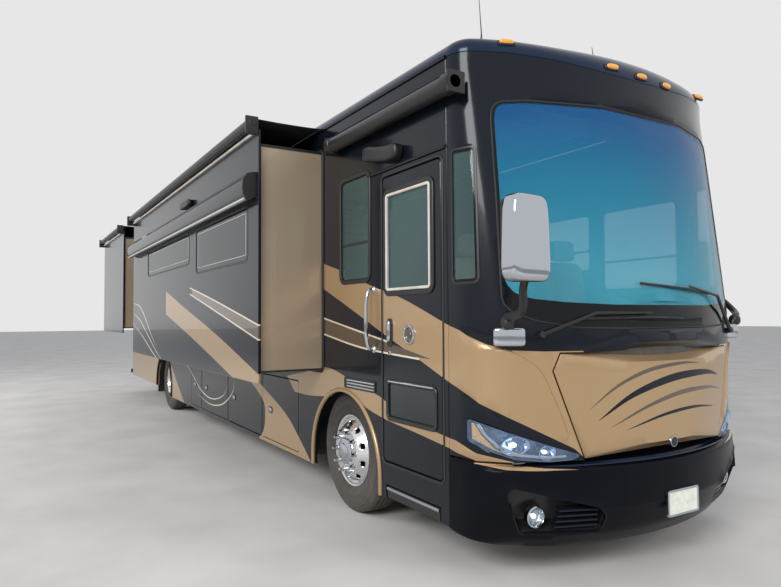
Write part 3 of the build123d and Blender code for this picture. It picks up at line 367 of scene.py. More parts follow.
def plate(name, body, surface, outline, thickness, zones=(), holes=(), step=(0.0, 0.0), bevel=0.003,
          mats=None, base_kind=0, relief=None, replaces=(), slot=None, smooth_angle=35.0, folds=()):
    """Panel of even thickness on a surface(u, v) -> (point, normal), with painted zones and cut-outs.

    zones are (outline, index of the material in mats); relief(u, v) lifts the face along its normal.
    """
    mats = mats or BODY_PAINTS
    edge = grown(outline, -bevel)
    cuts = [grown(hole, bevel) for hole in holes]
    points, lines = [], []

    def add_loop(loop):
        first = len(points)
        points.extend(Vector(p) for p in loop)
        count = len(loop)
        lines.extend((first + k, first + (k + 1) % count) for k in range(count))

    for loop in [edge] + cuts + [zone for zone, _ in zones]:
        add_loop(loop)
    for fold in folds:
        first = len(points)
        points.extend(Vector(p) for p in fold)
        lines.extend((first + k, first + k + 1) for k in range(len(fold) - 1))
    us = [p[0] for p in edge]
    vs = [p[1] for p in edge]
    if step[0]:
        columns = max(2, math.ceil((max(us) - min(us)) / step[0]))
        rows = max(2, math.ceil((max(vs) - min(vs)) / step[1])) if step[1] else 1
        gap = 0.25 * min(s for s in step if s)
        for i in range(1, columns):
            for j in range(0, rows + 1):
                spot = (min(us) + (max(us) - min(us)) * i / columns, min(vs) + (max(vs) - min(vs)) * j / rows)
                if inside(spot, edge) and not any(inside(spot, cut) for cut in cuts):
                    if not near_loop(spot, [edge] + cuts, gap):
                        points.append(Vector(spot))
    flat, _, triangles, _, _, _ = delaunay_2d_cdt(points, lines, [], 0, 1e-6)
    kept, kinds = [], []
    for triangle in triangles:
        centre = sum((flat[k] for k in triangle), Vector((0, 0))) / 3
        spot = (centre.x, centre.y)
        if inside(spot, edge) and not any(inside(spot, cut) for cut in cuts):
            kept.append(tuple(triangle))
            kinds.append(([base_kind] + [index for zone, index in zones if inside(spot, zone)])[-1])
    used = sorted({k for triangle in kept for k in triangle})
    index_of = {k: n for n, k in enumerate(used)}
    kept = [tuple(index_of[k] for k in triangle) for triangle in kept]
    flat = [flat[k] for k in used]
    if kept and signed_area([tuple(flat[k]) for k in kept[0]]) < 0:
        kept = [triangle[::-1] for triangle in kept]

    def sunk(p, depth):
        point, normal = surface(p.x, p.y)
        return point - normal * depth

    lifts = [relief(p.x, p.y) if relief else 0.0 for p in flat]
    count = len(flat)
    verts = [sunk(p, depth - lift) for depth in (0.0, thickness) for p, lift in zip(flat, lifts)]
    faces = kept + [tuple(k + count for k in triangle[::-1]) for triangle in kept]
    kinds = kinds + kinds
    seen = {}
    for n, triangle in enumerate(kept):
        for a, b in zip(triangle, triangle[1:] + triangle[:1]):
            seen[(a, b)] = n
    rim = [(a, b, kinds[n]) for (a, b), n in seen.items() if (b, a) not in seen]
    pushes_at = {}
    for a, b, _ in rim:
        run = flat[b] - flat[a]
        push = Vector((run.y, -run.x)).normalized()
        for k in (a, b):
            pushes_at.setdefault(k, []).append(push)
    ring = {}
    for k, pushes in pushes_at.items():
        mid = sum(pushes, Vector((0, 0)))
        mid = mid.normalized() if mid.length > 1e-6 else pushes[0]
        reach = max(mid.dot(pushes[0]), 0.5)
        out = flat[k] + mid * (bevel / reach)
        ring[k] = len(verts)
        verts += [sunk(out, bevel - lifts[k]), sunk(out, thickness - lifts[k])]
    for a, b, kind in rim:
        faces.append((b, a, ring[a], ring[b]))
        faces.append((ring[b], ring[a], ring[a] + 1, ring[b] + 1))
        faces.append((ring[b] + 1, ring[a] + 1, a + count, b + count))
        kinds += [kind] * 3
    piece = mesh_object(name, verts, faces, mats, body, kinds, smooth_angle)
    if replaces:
        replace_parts(piece, *replaces)
    return piece


def tube(name, body, points, radius, mat, sides=12, closed=False, radii=None):
    """Round bar along a line of points, with its ends closed."""
    pts = [Vector(p) for p in points]
    count = len(pts)
    verts, faces = [], []
    up = Vector((0, 0, 1))
    first = pts[1] - pts[0]
    if abs(first.normalized().dot(up)) > 0.95:
        up = Vector((0, 1, 0))
    side_dir = first.cross(up).normalized()
    for k, here in enumerate(pts):
        if closed:
            along = (pts[(k + 1) % count] - pts[k - 1]).normalized()
        else:
            along = (pts[min(k + 1, count - 1)] - pts[max(k - 1, 0)]).normalized()
        side_dir = (side_dir - along * side_dir.dot(along)).normalized()
        other = along.cross(side_dir)
        r = radii[k] if radii else radius
        for s in range(sides):
            angle = 2 * math.pi * s / sides
            verts.append(here + side_dir * (r * math.cos(angle)) + other * (r * math.sin(angle)))
    last = count if closed else count - 1
    for k in range(last):
        for s in range(sides):
            a = k * sides + s
            b = k * sides + (s + 1) % sides
            c = ((k + 1) % count) * sides + (s + 1) % sides
            d = ((k + 1) % count) * sides + s
            faces.append((a, b, c, d))
    if not closed:
        faces.append(tuple(range(sides))[::-1])
        faces.append(tuple((count - 1) * sides + s for s in range(sides)))
    return mesh_object(name, verts, faces, [mat], body, smooth_angle=50.0)


def lathe(name, body, profile, centre, mats, segments, axis="X", angle=35.0, bands=None):
    """Closed ring turned about an axis through centre; profile is (radius, offset along the axis) points."""
    verts, faces, kinds = [], [], []
    count = len(profile)
    for s in range(segments):
        turn = 2 * math.pi * s / segments
        for radius, offset in profile:
            a, b = radius * math.cos(turn), radius * math.sin(turn)
            if axis == "X":
                spot = Vector((offset, a, b))
            elif axis == "Y":
                spot = Vector((a, offset, b))
            else:
                spot = Vector((a, b, offset))
            verts.append(Vector(centre) + spot)
    for s in range(segments):
        for k in range(count - 1):
            a = s * count + k
            b = ((s + 1) % segments) * count + k
            if profile[k][0] < 1e-6 and profile[k + 1][0] < 1e-6:
                continue
            faces.append((a, b, b + 1, a + 1))
            kinds.append(bands[k] if bands else 0)
    return welded(mesh_object(name, verts, faces, mats, body, kinds, angle))


def welded(piece, distance=0.00005):
    """Joins the points that meet, drops what has no area and turns the faces outwards."""
    work = bmesh.new()
    work.from_mesh(piece.data)
    bmesh.ops.remove_doubles(work, verts=work.verts, dist=distance)
    bmesh.ops.dissolve_degenerate(work, dist=distance / 5, edges=work.edges)
    bmesh.ops.recalc_face_normals(work, faces=work.faces)
    work.to_mesh(piece.data)
    work.free()
    return piece


def boxes(name, body, cuboids, mat, bevel=0.004):
    """One piece of several bevelled blocks, each given by its low and high corner."""
    work = bmesh.new()
    for low, high in cuboids:
        low, high = Vector(low), Vector(high)
        made = bmesh.ops.create_cube(work, size=1.0)["verts"]
        for v in made:
            v.co = Vector((v.co[k] + 0.5) * (high[k] - low[k]) + low[k] for k in range(3))
        if bevel:
            edges = list({e for v in made for e in v.link_edges})
            bmesh.ops.bevel(work, geom=edges, offset=bevel, segments=2, affect="EDGES", profile=0.7)
    bmesh.ops.recalc_face_normals(work, faces=work.faces)
    mesh = bpy.data.meshes.new(name)
    work.to_mesh(mesh)
    work.free()
    mesh.materials.append(mat)
    return shown(name, mesh, body, 50.0)


def joined(name, pieces):
    """Several pieces of one body made into one."""
    bpy.ops.object.select_all(action="DESELECT")
    for piece in pieces:
        piece.select_set(True)
    bpy.context.view_layer.objects.active = pieces[0]
    bpy.ops.object.join()
    pieces[0].name = name
    pieces[0].data.name = name
    return pieces[0]


# Surfaces of the body


class Skin:
    """Side walls and rounded nose as one strip; u is the arc length from the nose, + to the driver."""

    nose_radius = 2.28

    def __init__(self, levels):
        self.levels = levels
        self.reference = self.plan(1.5)
        self.nose_len = self.nose_radius * self.reference[2]
        self.turn_len = self.reference[1] * (math.pi / 2 - self.reference[2])
        self.ref_end = self.reference[4]

    def plan(self, z):
        """Nose tip, corner radius, angle where the corner starts, and the corner's centre at a height."""
        levels = self.levels
        z = min(max(z, levels[0][0]), levels[-1][0])
        for low, high in zip(levels, levels[1:]):
            if z <= high[0]:
                f = (z - low[0]) / (high[0] - low[0])
                nose = -(low[1] + (high[1] - low[1]) * f)
                corner = low[2] + (high[2] - low[2]) * f
                break
        turn = math.asin((HALF - corner) / (self.nose_radius - corner))
        centre_y = aft(nose) + self.nose_radius - (self.nose_radius - corner) * math.cos(turn)
        return aft(nose), corner, turn, HALF - corner, centre_y

    def point(self, u, z):
        nose, corner, turn, centre_x, centre_y = self.plan(z)
        s = abs(u)
        sign = 1 if u >= 0 else -1
        if s <= self.nose_len:
            angle = turn * s / self.nose_len
            x = self.nose_radius * math.sin(angle)
            y = nose + self.nose_radius * (1 - math.cos(angle))
        elif s <= self.nose_len + self.turn_len:
            angle = turn + (math.pi / 2 - turn) * (s - self.nose_len) / self.turn_len
            x = centre_x + corner * math.sin(angle)
            y = centre_y - corner * math.cos(angle)
        else:
            x = HALF
            d = s - self.nose_len - self.turn_len
            seam = aft(CAP_SEAM)
            run = seam - self.ref_end
            y = centre_y + (seam - centre_y) * d / run if d < run else seam + d - run
        return Vector((sign * x, y, z))

    def __call__(self, u, z):
        here = self.point(u, z)
        along = self.point(u + 0.002, z) - self.point(u - 0.002, z)
        rise = self.point(u, z + 0.002) - self.point(u, z - 0.002)
        return here, along.cross(rise).normalized()

    def front(self, x, z):
        """(u, z) of the spot seen at x from straight ahead."""
        _, corner, turn, centre_x, _ = self.plan(z)
        a = abs(x)
        if a <= self.nose_radius * math.sin(turn):
            s = self.nose_len * math.asin(a / self.nose_radius) / turn
        else:
            angle = math.asin(min((a - centre_x) / corner, 1.0))
            s = self.nose_len + self.turn_len * (angle - turn) / (math.pi / 2 - turn)
        return (math.copysign(s, x), z)

    def side(self, station, z, side):
        """(u, z) of the spot seen at a station from the side."""
        _, corner, turn, _, centre_y = self.plan(z)
        y = aft(station)
        if y >= centre_y:
            seam = aft(CAP_SEAM)
            run = seam - self.ref_end
            d = run * (y - centre_y) / (seam - centre_y) if y < seam else run + y - seam
            s = self.nose_len + self.turn_len + d
        else:
            angle = math.acos(min((centre_y - y) / corner, 1.0))
            s = self.nose_len + self.turn_len * (angle - turn) / (math.pi / 2 - turn)
        return (side * s, z)


CAP = Skin([(0.742, 2.172, 0.35), (1.4, 2.19, 0.35), (1.56, 2.19, 0.35),
            (3.22, 1.995, 0.19), (SHOULDER, 1.995, 0.19)])
BUMPER = Skin([(0.2, 2.055, 0.25), (0.32, 2.15, 0.35), (0.46, 2.208, 0.35),
               (0.69, 2.205, 0.35), (0.738, 2.182, 0.35)])


def raised(surface, height):
    """Surface moved along its own normal."""
    def moved(u, z):
        point, normal = surface(u, z)
        return point + normal * height, normal
    return moved


def upright(y, facing=-1):
    """Plane across the body at y, with u as x, or as -x where it faces the tail."""
    return lambda u, z: (Vector((-facing * u, y, z)), Vector((0, facing, 0)))


def off_side(side, x, points):
    """Section points given as a distance outwards from x, and a height."""
    return [(side * (x + away), z) for away, z in points]


def flat_side(side, x):
    """Upright plane along the body; u is the station times side, so that it faces outwards."""
    def surface(u, z):
        return Vector((side * x, aft(u * side), z)), Vector((side, 0, 0))
    return surface


def on_side(side, points):
    """Station and height points as (u, v) of a flat side."""
    return [(station * side, z) for station, z in points]


def side_box(side, front, rear, low, high, radius=0.0):
    if radius:
        return rounded(front * side, rear * side, low, high, radius)
    u0, u1 = sorted((front * side, rear * side))
    return [(u0, low), (u1, low), (u1, high), (u0, high)]


# Paint scheme: outlines in stations and heights on the sides, in x and height on the nose

WALL_BAND = band([(0.6, 2.16), (0.3, 2.085), (-0.1, 1.985), (-0.48, 1.869), (-0.95, 1.752), (-1.489, 1.569)],
                 [(0.6, 1.95), (0.3, 1.85), (-0.31, 1.631), (-0.69, 1.491), (-1.16, 1.326), (-1.489, 1.206)])
WALL_BRONZE = band([(0.6, 1.655), (0.3, 1.597), (-0.66, 1.445), (-1.28, 1.343)],
                   [(0.6, 1.52), (0.3, 1.471), (-0.34, 1.387), (-1.28, 1.339)])
WALL_PIN_TOP = stripe([(0.6, 1.662), (0.3, 1.604), (-0.66, 1.451), (-0.8, 1.43)], 0.014)
WALL_PIN_LOW = stripe([(0.6, 1.513), (0.3, 1.464), (-0.34, 1.38), (-1.15, 1.334)], 0.014)
ARCH_BAND = band([(1.25, 1.04), (0.81, 1.108), (0.3, 1.183), (-0.23, 1.088), (-0.6, 1.024), (-0.8, 0.96),
                  (-1.1, 0.895), (-1.489, 0.85)],
                 [(1.05, 0.9), (0.7, 0.9), (0.3, 0.93), (-0.2, 0.96), (-0.42, 0.908), (-0.7, 0.862),
                  (-1.1, 0.826), (-1.489, 0.786)])
FRONT_WEDGE = curve_through([(2.75, 1.075), (1.99, 0.877), (1.29, 0.657), (0.93, 0.461), (0.62, 0.26)]) + \
    curve_through([(2.13, 0.26), (1.93, 0.4), (1.88, 0.56), (1.95, 0.72), (2.4, 0.9), (3.1, 1.075)])
REAR_WEDGE = curve_through([(5.5, 0.26), (5.85, 0.45), (6.52, 0.83)]) + [(6.6, 0.26)]
TAIL_PANEL = curve_through([(7.55, 0.98), (8.6, 0.9), (10.6, 0.93)]) + [(10.6, 0.3), (7.45, 0.3)]
SWEEP = band([(3.99, 1.985), (3.06, 1.773), (1.6, 1.455), (0.3, 1.135)],
             [(3.99, 1.68), (2.4, 1.36), (0.93, 1.04), (0.5, 0.94)])
SLIDE_BRONZE = band([(2.6, 1.96), (1.64, 1.79), (0.3, 1.545)],
                    [(2.6, 1.885), (1.5, 1.66), (0.3, 1.42)])
SLIDE_PINS = [stripe([(2.7, 1.975), (1.64, 1.796), (0.3, 1.551)], 0.014),
              stripe([(2.7, 1.903), (1.5, 1.666), (0.3, 1.426)], 0.014)]
SWIRLS = [[(6.53, 1.55), (5.7, 1.36), (4.8, 1.12), (4.35, 1.03)],
          [(6.53, 1.72), (5.9, 1.6), (5.3, 1.4), (4.6, 1.16), (4.1, 1.03)],
          [(6.53, 1.88), (6.0, 1.83), (5.6, 1.7), (5.0, 1.4), (4.55, 1.2)]]
LOW_SWIRLS = [[(6.3, 1.0), (5.3, 0.86), (4.6, 0.6), (4.0, 0.52), (3.45, 0.62), (3.25, 0.8)],
              [(4.75, 0.52), (4.1, 0.44), (3.5, 0.5), (3.05, 0.7), (3.0, 0.88)]]


def side_zones(side):
    """Zones of the flat sides, as (outline, paint)."""
    zones = [(WALL_BAND, GOLD_ZONE), (WALL_BRONZE, BRONZE_ZONE), (WALL_PIN_TOP, CREAM_ZONE),
             (WALL_PIN_LOW, CREAM_ZONE), (ARCH_BAND, GOLD_ZONE), (FRONT_WEDGE, GOLD_ZONE),
             (REAR_WEDGE, GOLD_ZONE), (TAIL_PANEL, GOLD_ZONE)]
    zones += [(stripe(line, 0.016, True), CREAM_ZONE) for line in LOW_SWIRLS]
    return [(on_side(side, outline), kind) for outline, kind in zones]


def clipped(zones, low_u, high_u, low_v, high_v):
    """The zones that reach a panel."""
    kept = []
    for outline, kind in zones:
        us = [p[0] for p in outline]
        vs = [p[1] for p in outline]
        if max(us) > low_u and min(us) < high_u and max(vs) > low_v and min(vs) < high_v:
            kept.append((outline, kind))
    return kept


def panel(name, body, side, x, outline, thickness, holes=(), replaces=(), **options):
    """Flat painted panel on a side of the body."""
    us, vs = zip(*outline)
    zones = clipped(side_zones(side), min(us), max(us), min(vs), max(vs))
    return plate(name, body, flat_side(side, x), outline, thickness, zones, holes, replaces=replaces,
                 **options)


def sweep(name, body, section, start, end, mats, kinds=None, caps=0, angle=35.0):
    """Closed (x, z) section run straight along the body between two stations."""
    count = len(section)
    verts = [Vector((x, aft(start), z)) for x, z in section] + [Vector((x, aft(end), z)) for x, z in section]
    faces = [(k, (k + 1) % count, (k + 1) % count + count, k + count) for k in range(count)]
    fills = kinds[:] if kinds else [0] * count
    for triangle in filled(section):
        faces.append(tuple(triangle))
        faces.append(tuple(k + count for k in triangle)[::-1])
        fills += [caps, caps]
    return welded(mesh_object(name, verts, faces, mats, body, fills, angle))


def bucket(name, body, surface, outline, depth, mat):
    """Open tray sunk into a surface: walls round an outline and a floor at a depth."""
    rim = 0.004
    loops = [grown(outline, rim), outline, outline, grown(outline, rim)]
    depths = [0.0, 0.0, depth, depth + rim]
    verts, faces = [], []
    count = len(outline)
    for loop, deep in zip(loops, depths):
        for u, v in loop:
            point, normal = surface(u, v)
            verts.append(point - normal * deep)
    for ring in range(2):
        for k in range(count):
            a = ring * count + k
            b = ring * count + (k + 1) % count
            faces.append((a, b, b + count, a + count))
    for k in range(count):
        a = 3 * count + k
        b = 3 * count + (k + 1) % count
        faces.append((a, b, (k + 1) % count, k))
    for ring in (2, 3):
        faces += [tuple(ring * count + k for k in triangle) for triangle in filled(loops[ring])]
    return welded(mesh_object(name, verts, faces, [mat], body))


def pillow(name, body, centre, half, mat, power=(0.5, 0.5), turns=(16, 32), shape=None):
    """Rounded closed form between an ellipsoid, power 1, and a box, power 0."""
    def bent(value, p):
        return math.copysign(abs(value) ** p, value)

    verts, faces = [], []
    rows, columns = turns
    for i in range(1, rows):
        lat = -math.pi / 2 + math.pi * i / rows
        for j in range(columns):
            lon = 2 * math.pi * j / columns
            spot = Vector((half[0] * bent(math.cos(lat), power[0]) * bent(math.cos(lon), power[1]),
                           half[1] * bent(math.cos(lat), power[0]) * bent(math.sin(lon), power[1]),
                           half[2] * bent(math.sin(lat), power[0])))
            verts.append(spot)
    verts += [Vector((0, 0, -half[2])), Vector((0, 0, half[2]))]
    for i in range(rows - 2):
        for j in range(columns):
            a = i * columns + j
            b = i * columns + (j + 1) % columns
            faces.append((a, b, b + columns, a + columns))
    low, high = len(verts) - 2, len(verts) - 1
    for j in range(columns):
        faces.append((low, (j + 1) % columns, j))
        top = (rows - 2) * columns
        faces.append((high, top + j, top + (j + 1) % columns))
    verts = [Vector(centre) + (shape(v) if shape else v) for v in verts]
    return mesh_object(name, verts, faces, [mat], body, smooth_angle=60.0)


# Camera, so that the photograph's view is framed first

EYE = Vector((-3.7107, -8.9076, 1.6215))
YAW, PITCH, ROLL = 0.5431, 0.0374, -0.0061
FOCAL_PIXELS = 636.1
IMAGE_WIDTH = 781
ahead = Vector((math.sin(YAW) * math.cos(PITCH), math.cos(YAW) * math.cos(PITCH), math.sin(PITCH)))
level_right = Vector((math.cos(YAW), -math.sin(YAW), 0))
level_up = level_right.cross(ahead)
right = level_right * math.cos(ROLL) + level_up * math.sin(ROLL)
up = level_up * math.cos(ROLL) - level_right * math.sin(ROLL)
camera_data = bpy.data.cameras.new("camera")
camera_data.sensor_width = 36.0
camera_data.lens = FOCAL_PIXELS / IMAGE_WIDTH * 36.0
camera_data.clip_end = 200.0
camera = bpy.data.objects.new("camera", camera_data)
camera.matrix_world = Matrix((
    (right.x, up.x, -ahead.x, EYE.x), (right.y, up.y, -ahead.y, EYE.y), (right.z, up.z, -ahead.z, EYE.z),
    (0, 0, 0, 1)))
bpy.context.scene.collection.objects.link(camera)
bpy.context.scene.camera = camera
bpy.context.scene.view_settings.view_transform = "Standard"


# Sides of the body, wall and skirt in one, and the roof

SLIDES = [
    ("slide_front_right", DOOR, 0.36, 6.526, 1.154,
     [(0.64, 2.43, 2.12, 2.62), (2.74, 5.26, 2.25, 2.635)]),
    ("slide_rear_right", DOOR, 7.63, 10.24, 1.45, []),
    ("slide_left", DRIVER, 0.9, 5.3, 1.154, [(1.25, 2.6, 2.12, 2.62), (3.3, 4.9, 2.12, 2.62)]),
]
WALL_WINDOWS = [
    (DOOR, -0.467, 0.036, 1.914, 2.77), (DRIVER, -1.38, -0.56, 1.86, 2.64),
    (DRIVER, -0.42, 0.48, 2.06, 2.64), (DRIVER, 5.9, 7.0, 2.06, 2.64),
    (DRIVER, 7.9, 9.3, 2.2, 2.64),
]
BAYS = [
    ("bay_door_right_1", DOOR, 0.96, 1.95), ("bay_door_right_2", DOOR, 1.99, 3.215),
    ("bay_door_right_3", DOOR, 3.255, 4.49), ("bay_door_right_4", DOOR, 4.53, 5.09),
    ("bay_door_left_1", DRIVER, 0.96, 2.18), ("bay_door_left_2", DRIVER, 2.22, 3.44),
]
BAY_LOW, BAY_HIGH = 0.33, 1.01
DOOR_FRONT, DOOR_REAR, DOOR_LOW, DOOR_HIGH = -1.419, -0.667, 0.559, 2.671
ARCH_R, ARCH_Z = 0.61, 0.4
WHEELBASE = REAR_AXLE - AXLE


def arch_line(station, low, radius=ARCH_R, turns=36):
    """Wheel arch as an open line of stations and heights, from its front foot to its rear foot."""
    line = [(station - radius, low)]
    for k in range(turns + 1):
        angle = math.pi * (1 - k / turns)
        line.append((station + radius * math.cos(angle), ARCH_Z + radius * math.sin(angle)))
    line.append((station + radius, low))
    return line


for side, tag in SIDES:
    name = f"side_{tag}"
    bottom = [(CAP_SEAM + 0.003, SKIRT_BOTTOM)]
    bottom += arch_line(0.0, SKIRT_BOTTOM)
    rear_arch = arch_line(WHEELBASE, SKIRT_BOTTOM)
    bottom += rear_arch[:-1] + [(WHEELBASE + ARCH_R, REAR_SKIRT_BOTTOM),
                                (REAR_SEAM - 0.003, REAR_SKIRT_BOTTOM)]
    outline = bottom + [(REAR_SEAM - 0.003, 3.312), (CAP_SEAM + 0.003, 3.312)]
    outline = outward(on_side(side, outline))
    holes = [side_box(side, front + 0.04, rear - 0.04, floor_z - 0.01, 3.13)
             for _, slide_side, front, rear, floor_z, _ in SLIDES if slide_side == side]
    holes += [side_box(side, front, rear, low, high, 0.06)
              for window_side, front, rear, low, high in WALL_WINDOWS if window_side == side]
    holes += [side_box(side, front - 0.006, rear + 0.006, BAY_LOW - 0.006, BAY_HIGH + 0.006, 0.02)
              for _, bay_side, front, rear in BAYS if bay_side == side]
    if side == DOOR:
        holes.append(side_box(side, DOOR_FRONT - 0.008, DOOR_REAR + 0.008, DOOR_LOW - 0.008,
                              DOOR_HIGH + 0.008, 0.035))
        holes.append(side_box(side, DOOR_FRONT + 0.03, DOOR_REAR - 0.03, 0.2, 0.385))
    panel(name, "coach", side, HALF, outline, 0.04, holes,
          replaces=(f"wall_{tag}", f"skirt_{tag}"), bevel=0.004)
    for end, station, mat in (("front", 0.0, GOLD), ("rear", WHEELBASE, BLACK)):
        lip = arch_line(station, SKIRT_BOTTOM + 0.004, ARCH_R + 0.004, 40)
        if end == "rear":
            lip[-1] = (lip[-1][0], REAR_SKIRT_BOTTOM + 0.004)
        tube(f"{name}_arch_{end}", "coach", [(side * (HALF - 0.001), aft(s), z) for s, z in lip], 0.019, mat,
             12)
    gutter = [(-0.004, 3.3), (0.013, 3.306), (0.015, 3.326), (0.009, 3.33), (-0.004, 3.322)]
    sweep(f"{name}_gutter", "coach", off_side(side, HALF, gutter), CAP_SEAM, REAR_SEAM, [BLACK])
    # The front wells are squarer than the arch, so that the steered tyres clear them
    for end, station in (("front", 0.0), ("rear", WHEELBASE)):
        rings = []
        for depth_x in (1.226, 0.69):
            for skin in (0.0, 0.012):
                line = []
                for k in range(33):
                    along, up = math.cos(math.pi * k / 32), math.sin(math.pi * k / 32)
                    radius = ARCH_R + 0.002 + skin
                    if end == "front":
                        radius = min(0.692 + skin, (0.643 + skin) / max(abs(along), 0.001),
                                     (0.651 + skin) / max(up, 0.001))
                    line.append((side * depth_x, aft(station + radius * along), ARCH_Z + radius * up))
                rings += line
        faces = []
        for k in range(32):
            for a, b in ((0, 1), (1, 3), (3, 2), (2, 0)):
                faces.append((a * 33 + k, a * 33 + k + 1, b * 33 + k + 1, b * 33 + k))
        faces += [(0, 33, 99, 66), (32, 98, 131, 65)]
        welded(mesh_object(f"{name}_wheel_well_{end}", rings, faces, [TRIM], "coach"))


def roof_line(inset=0.0):
    """Half of the roof's section from the eave to the centreline."""
    line = []
    radius = EAVE_ROUND - inset
    for k in range(9):
        angle = math.pi / 2 * k / 8
        line.append((ROOF_HALF + radius * math.cos(angle), EAVE + radius * math.sin(angle)))
    for k in range(1, 13):
        x = ROOF_HALF * (1 - k / 12)
        line.append((x, roof_z(x) - inset))
    return line


outer = roof_line()
inner = roof_line(0.05)
section = outer + off_side(-1, 0.0, outer)[-2::-1] + off_side(-1, 0.0, inner) + inner[-2::-1]
kinds = [0 if abs(a[0] + b[0]) / 2 > 1.13 else 1 for a, b in zip(section, section[1:] + section[:1])]
roof_top = sweep("roof_top", "coach", section, CAP_SEAM, REAR_SEAM, [NAVY, MEMBRANE], kinds, 1, 40.0)
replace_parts(roof_top, "roof")
for side, tag in SIDES:
    bead = off_side(side, 0.0, [(1.12, 3.434), (1.15, 3.432), (1.148, 3.446), (1.122, 3.447)])
    sweep(f"roof_edge_bead_{tag}", "coach", bead, CAP_SEAM + 0.01, REAR_SEAM - 0.01, [LIGHT_TRIM])


# Nose: skin, brow, hood, windshield, bumper and lamps


def nose(side, points):
    """Points seen from ahead, x measured outwards on one side."""
    return [CAP.front(side * x, z) for x, z in points]


def cheek(side, points):
    """Points of the front cap seen from the side, as stations and heights."""
    return [CAP.side(station, z, side) for station, z in points]


def both_ways(points):
    """Outline symmetric about the centreline, from the points of its driver's half, bottom to top."""
    driver = [CAP.front(x, z) for x, z in points]
    return driver + [(-u, z) for u, z in driver[::-1]]


GLASS_HALF = [(0.0, 1.545), (0.4, 1.545), (0.733, 1.552), (0.956, 1.589), (1.1, 1.64), (1.15, 1.705),
              (1.147, 1.9), (1.134, 2.3), (1.124, 2.85), (1.115, 2.935), (1.075, 2.978), (0.9, 2.99),
              (0.4, 2.992), (0.0, 2.992)]
GLASS_OUTLINE = softened(both_ways(GLASS_HALF[1:-1]), 0.03, 3)
HOOD_OUTLINE = both_ways([(0.69, 0.748), (0.889, 1.29), (0.845, 1.402)])
LAMP = [(0.712, 0.778), (0.76, 0.752), (0.911, 0.745), (1.087, 0.762), (1.2, 0.806), (1.274, 0.862),
        (1.274, 0.998), (1.114, 0.92), (0.976, 0.868)]
QUARTER = [(-1.745, 1.836), (-1.546, 1.836), (-1.546, 2.684), (-1.695, 2.684)]
CREASE = [(1.236, 1.43), (1.15, 1.415), (1.069, 1.382), (0.974, 1.306), (0.925, 1.22), (0.897, 1.154),
          (0.844, 1.029), (0.8, 0.905)]
LID = [(0.0, 3.222), (0.35, 3.238), (0.7, 3.276), (1.0, 3.306), (1.2, 3.316)]


def brow_base(u):
    """Height of the seam between the cap and the brow."""
    x = abs(CAP.point(u, 3.22).x)
    for (x0, z0), (x1, z1) in zip(LID, LID[1:]):
        if x <= x1:
            return z0 + (z1 - z0) * (x - x0) / (x1 - x0)
    return LID[-1][1]


cap_reach = abs(CAP.side(CAP_SEAM - 0.003, 1.5, DRIVER)[0])
cap_outline = [(-cap_reach, 0.744), (cap_reach, 0.744)]
cap_outline += [(u, brow_base(u) - 0.002) for u, _ in level(cap_reach, 0, 64)[::-1]]
cap_zones, creases, folds = [], [], []
for side in (DOOR, DRIVER):
    flank = cheek(side, [(-1.489, 1.569), (-1.6, 1.54)])
    flank += nose(side, [(1.225, 1.455), (1.117, 1.418), (0.93, 1.41), (0.7, 1.41), (0.6, 0.744),
                         (0.686, 0.756), (0.751, 0.817), (0.88, 0.884), (1.019, 0.957), (1.14, 1.022),
                         (1.248, 1.097)])
    flank += cheek(side, [(-1.56, 1.185), (-1.489, 1.206)])
    thin = cheek(side, [(-1.489, 0.85), (-1.56, 0.846)])
    thin += nose(side, [(1.25, 0.79), (1.1, 0.75), (1.1, 0.744), (1.245, 0.744)])
    thin += cheek(side, [(-1.56, 0.772), (-1.489, 0.786)])
    cap_zones += [(flank, GOLD_ZONE), (thin, GOLD_ZONE)]
    line = curve_through(nose(side, CREASE), 4)
    creases.append(line)
    folds += [line, [(u - side * 0.012, z) for u, z in line]]


def fender(u, z):
    """Height of the fender's fold above the plain cap."""
    best = 1.0
    outer_side = True
    spot = Vector((u, z, 0))
    for line in creases:
        for a, b in zip(line, line[1:]):
            start, end = Vector((*a, 0)), Vector((*b, 0))
            _, along = intersect_point_line(spot, start, end)
            near = start.lerp(end, min(max(along, 0.0), 1.0))
            gap = (near - spot).length
            if gap < best:
                best = gap
                outer_side = abs(u) >= abs(near.x) - 0.001
    if outer_side:
        return 0.011 * max(0.0, 1 - best / 0.2) ** 2
    return -0.004 * max(0.0, 1 - best / 0.07)


plate("cap_skin", "coach", CAP, cap_outline, 0.02, cap_zones,
      [grown(GLASS_OUTLINE, 0.004), HOOD_OUTLINE] + [nose(side, LAMP) for side in (DOOR, DRIVER)]
      + [softened(cheek(side, QUARTER), 0.04) for side in (DOOR, DRIVER)],
      step=(0.045, 0.055), bevel=0.003, relief=fender, replaces=("front_cap",), folds=folds)

# Brow: rings up from the cap's seam that lean back and round over into the roof
NOSE_ROUND = 0.235
RING_TURNS = 12


def brow_round(u):
    x = abs(CAP.point(u, 3.3).x)
    f = min(max((1.25 - x) / 0.75, 0.0), 1.0)
    return EAVE_ROUND + (NOSE_ROUND - EAVE_ROUND) * f * f * (3 - 2 * f)


def crown_at(x, y):
    fade = min(max((aft(-1.8) - y) / (aft(-1.8) - aft(CAP_SEAM)), 0.0), 1.0)
    return (CROWN - SHOULDER) * max(0.0, 1 - (x / ROOF_HALF) ** 2) * (0.06 + 0.94 * fade)


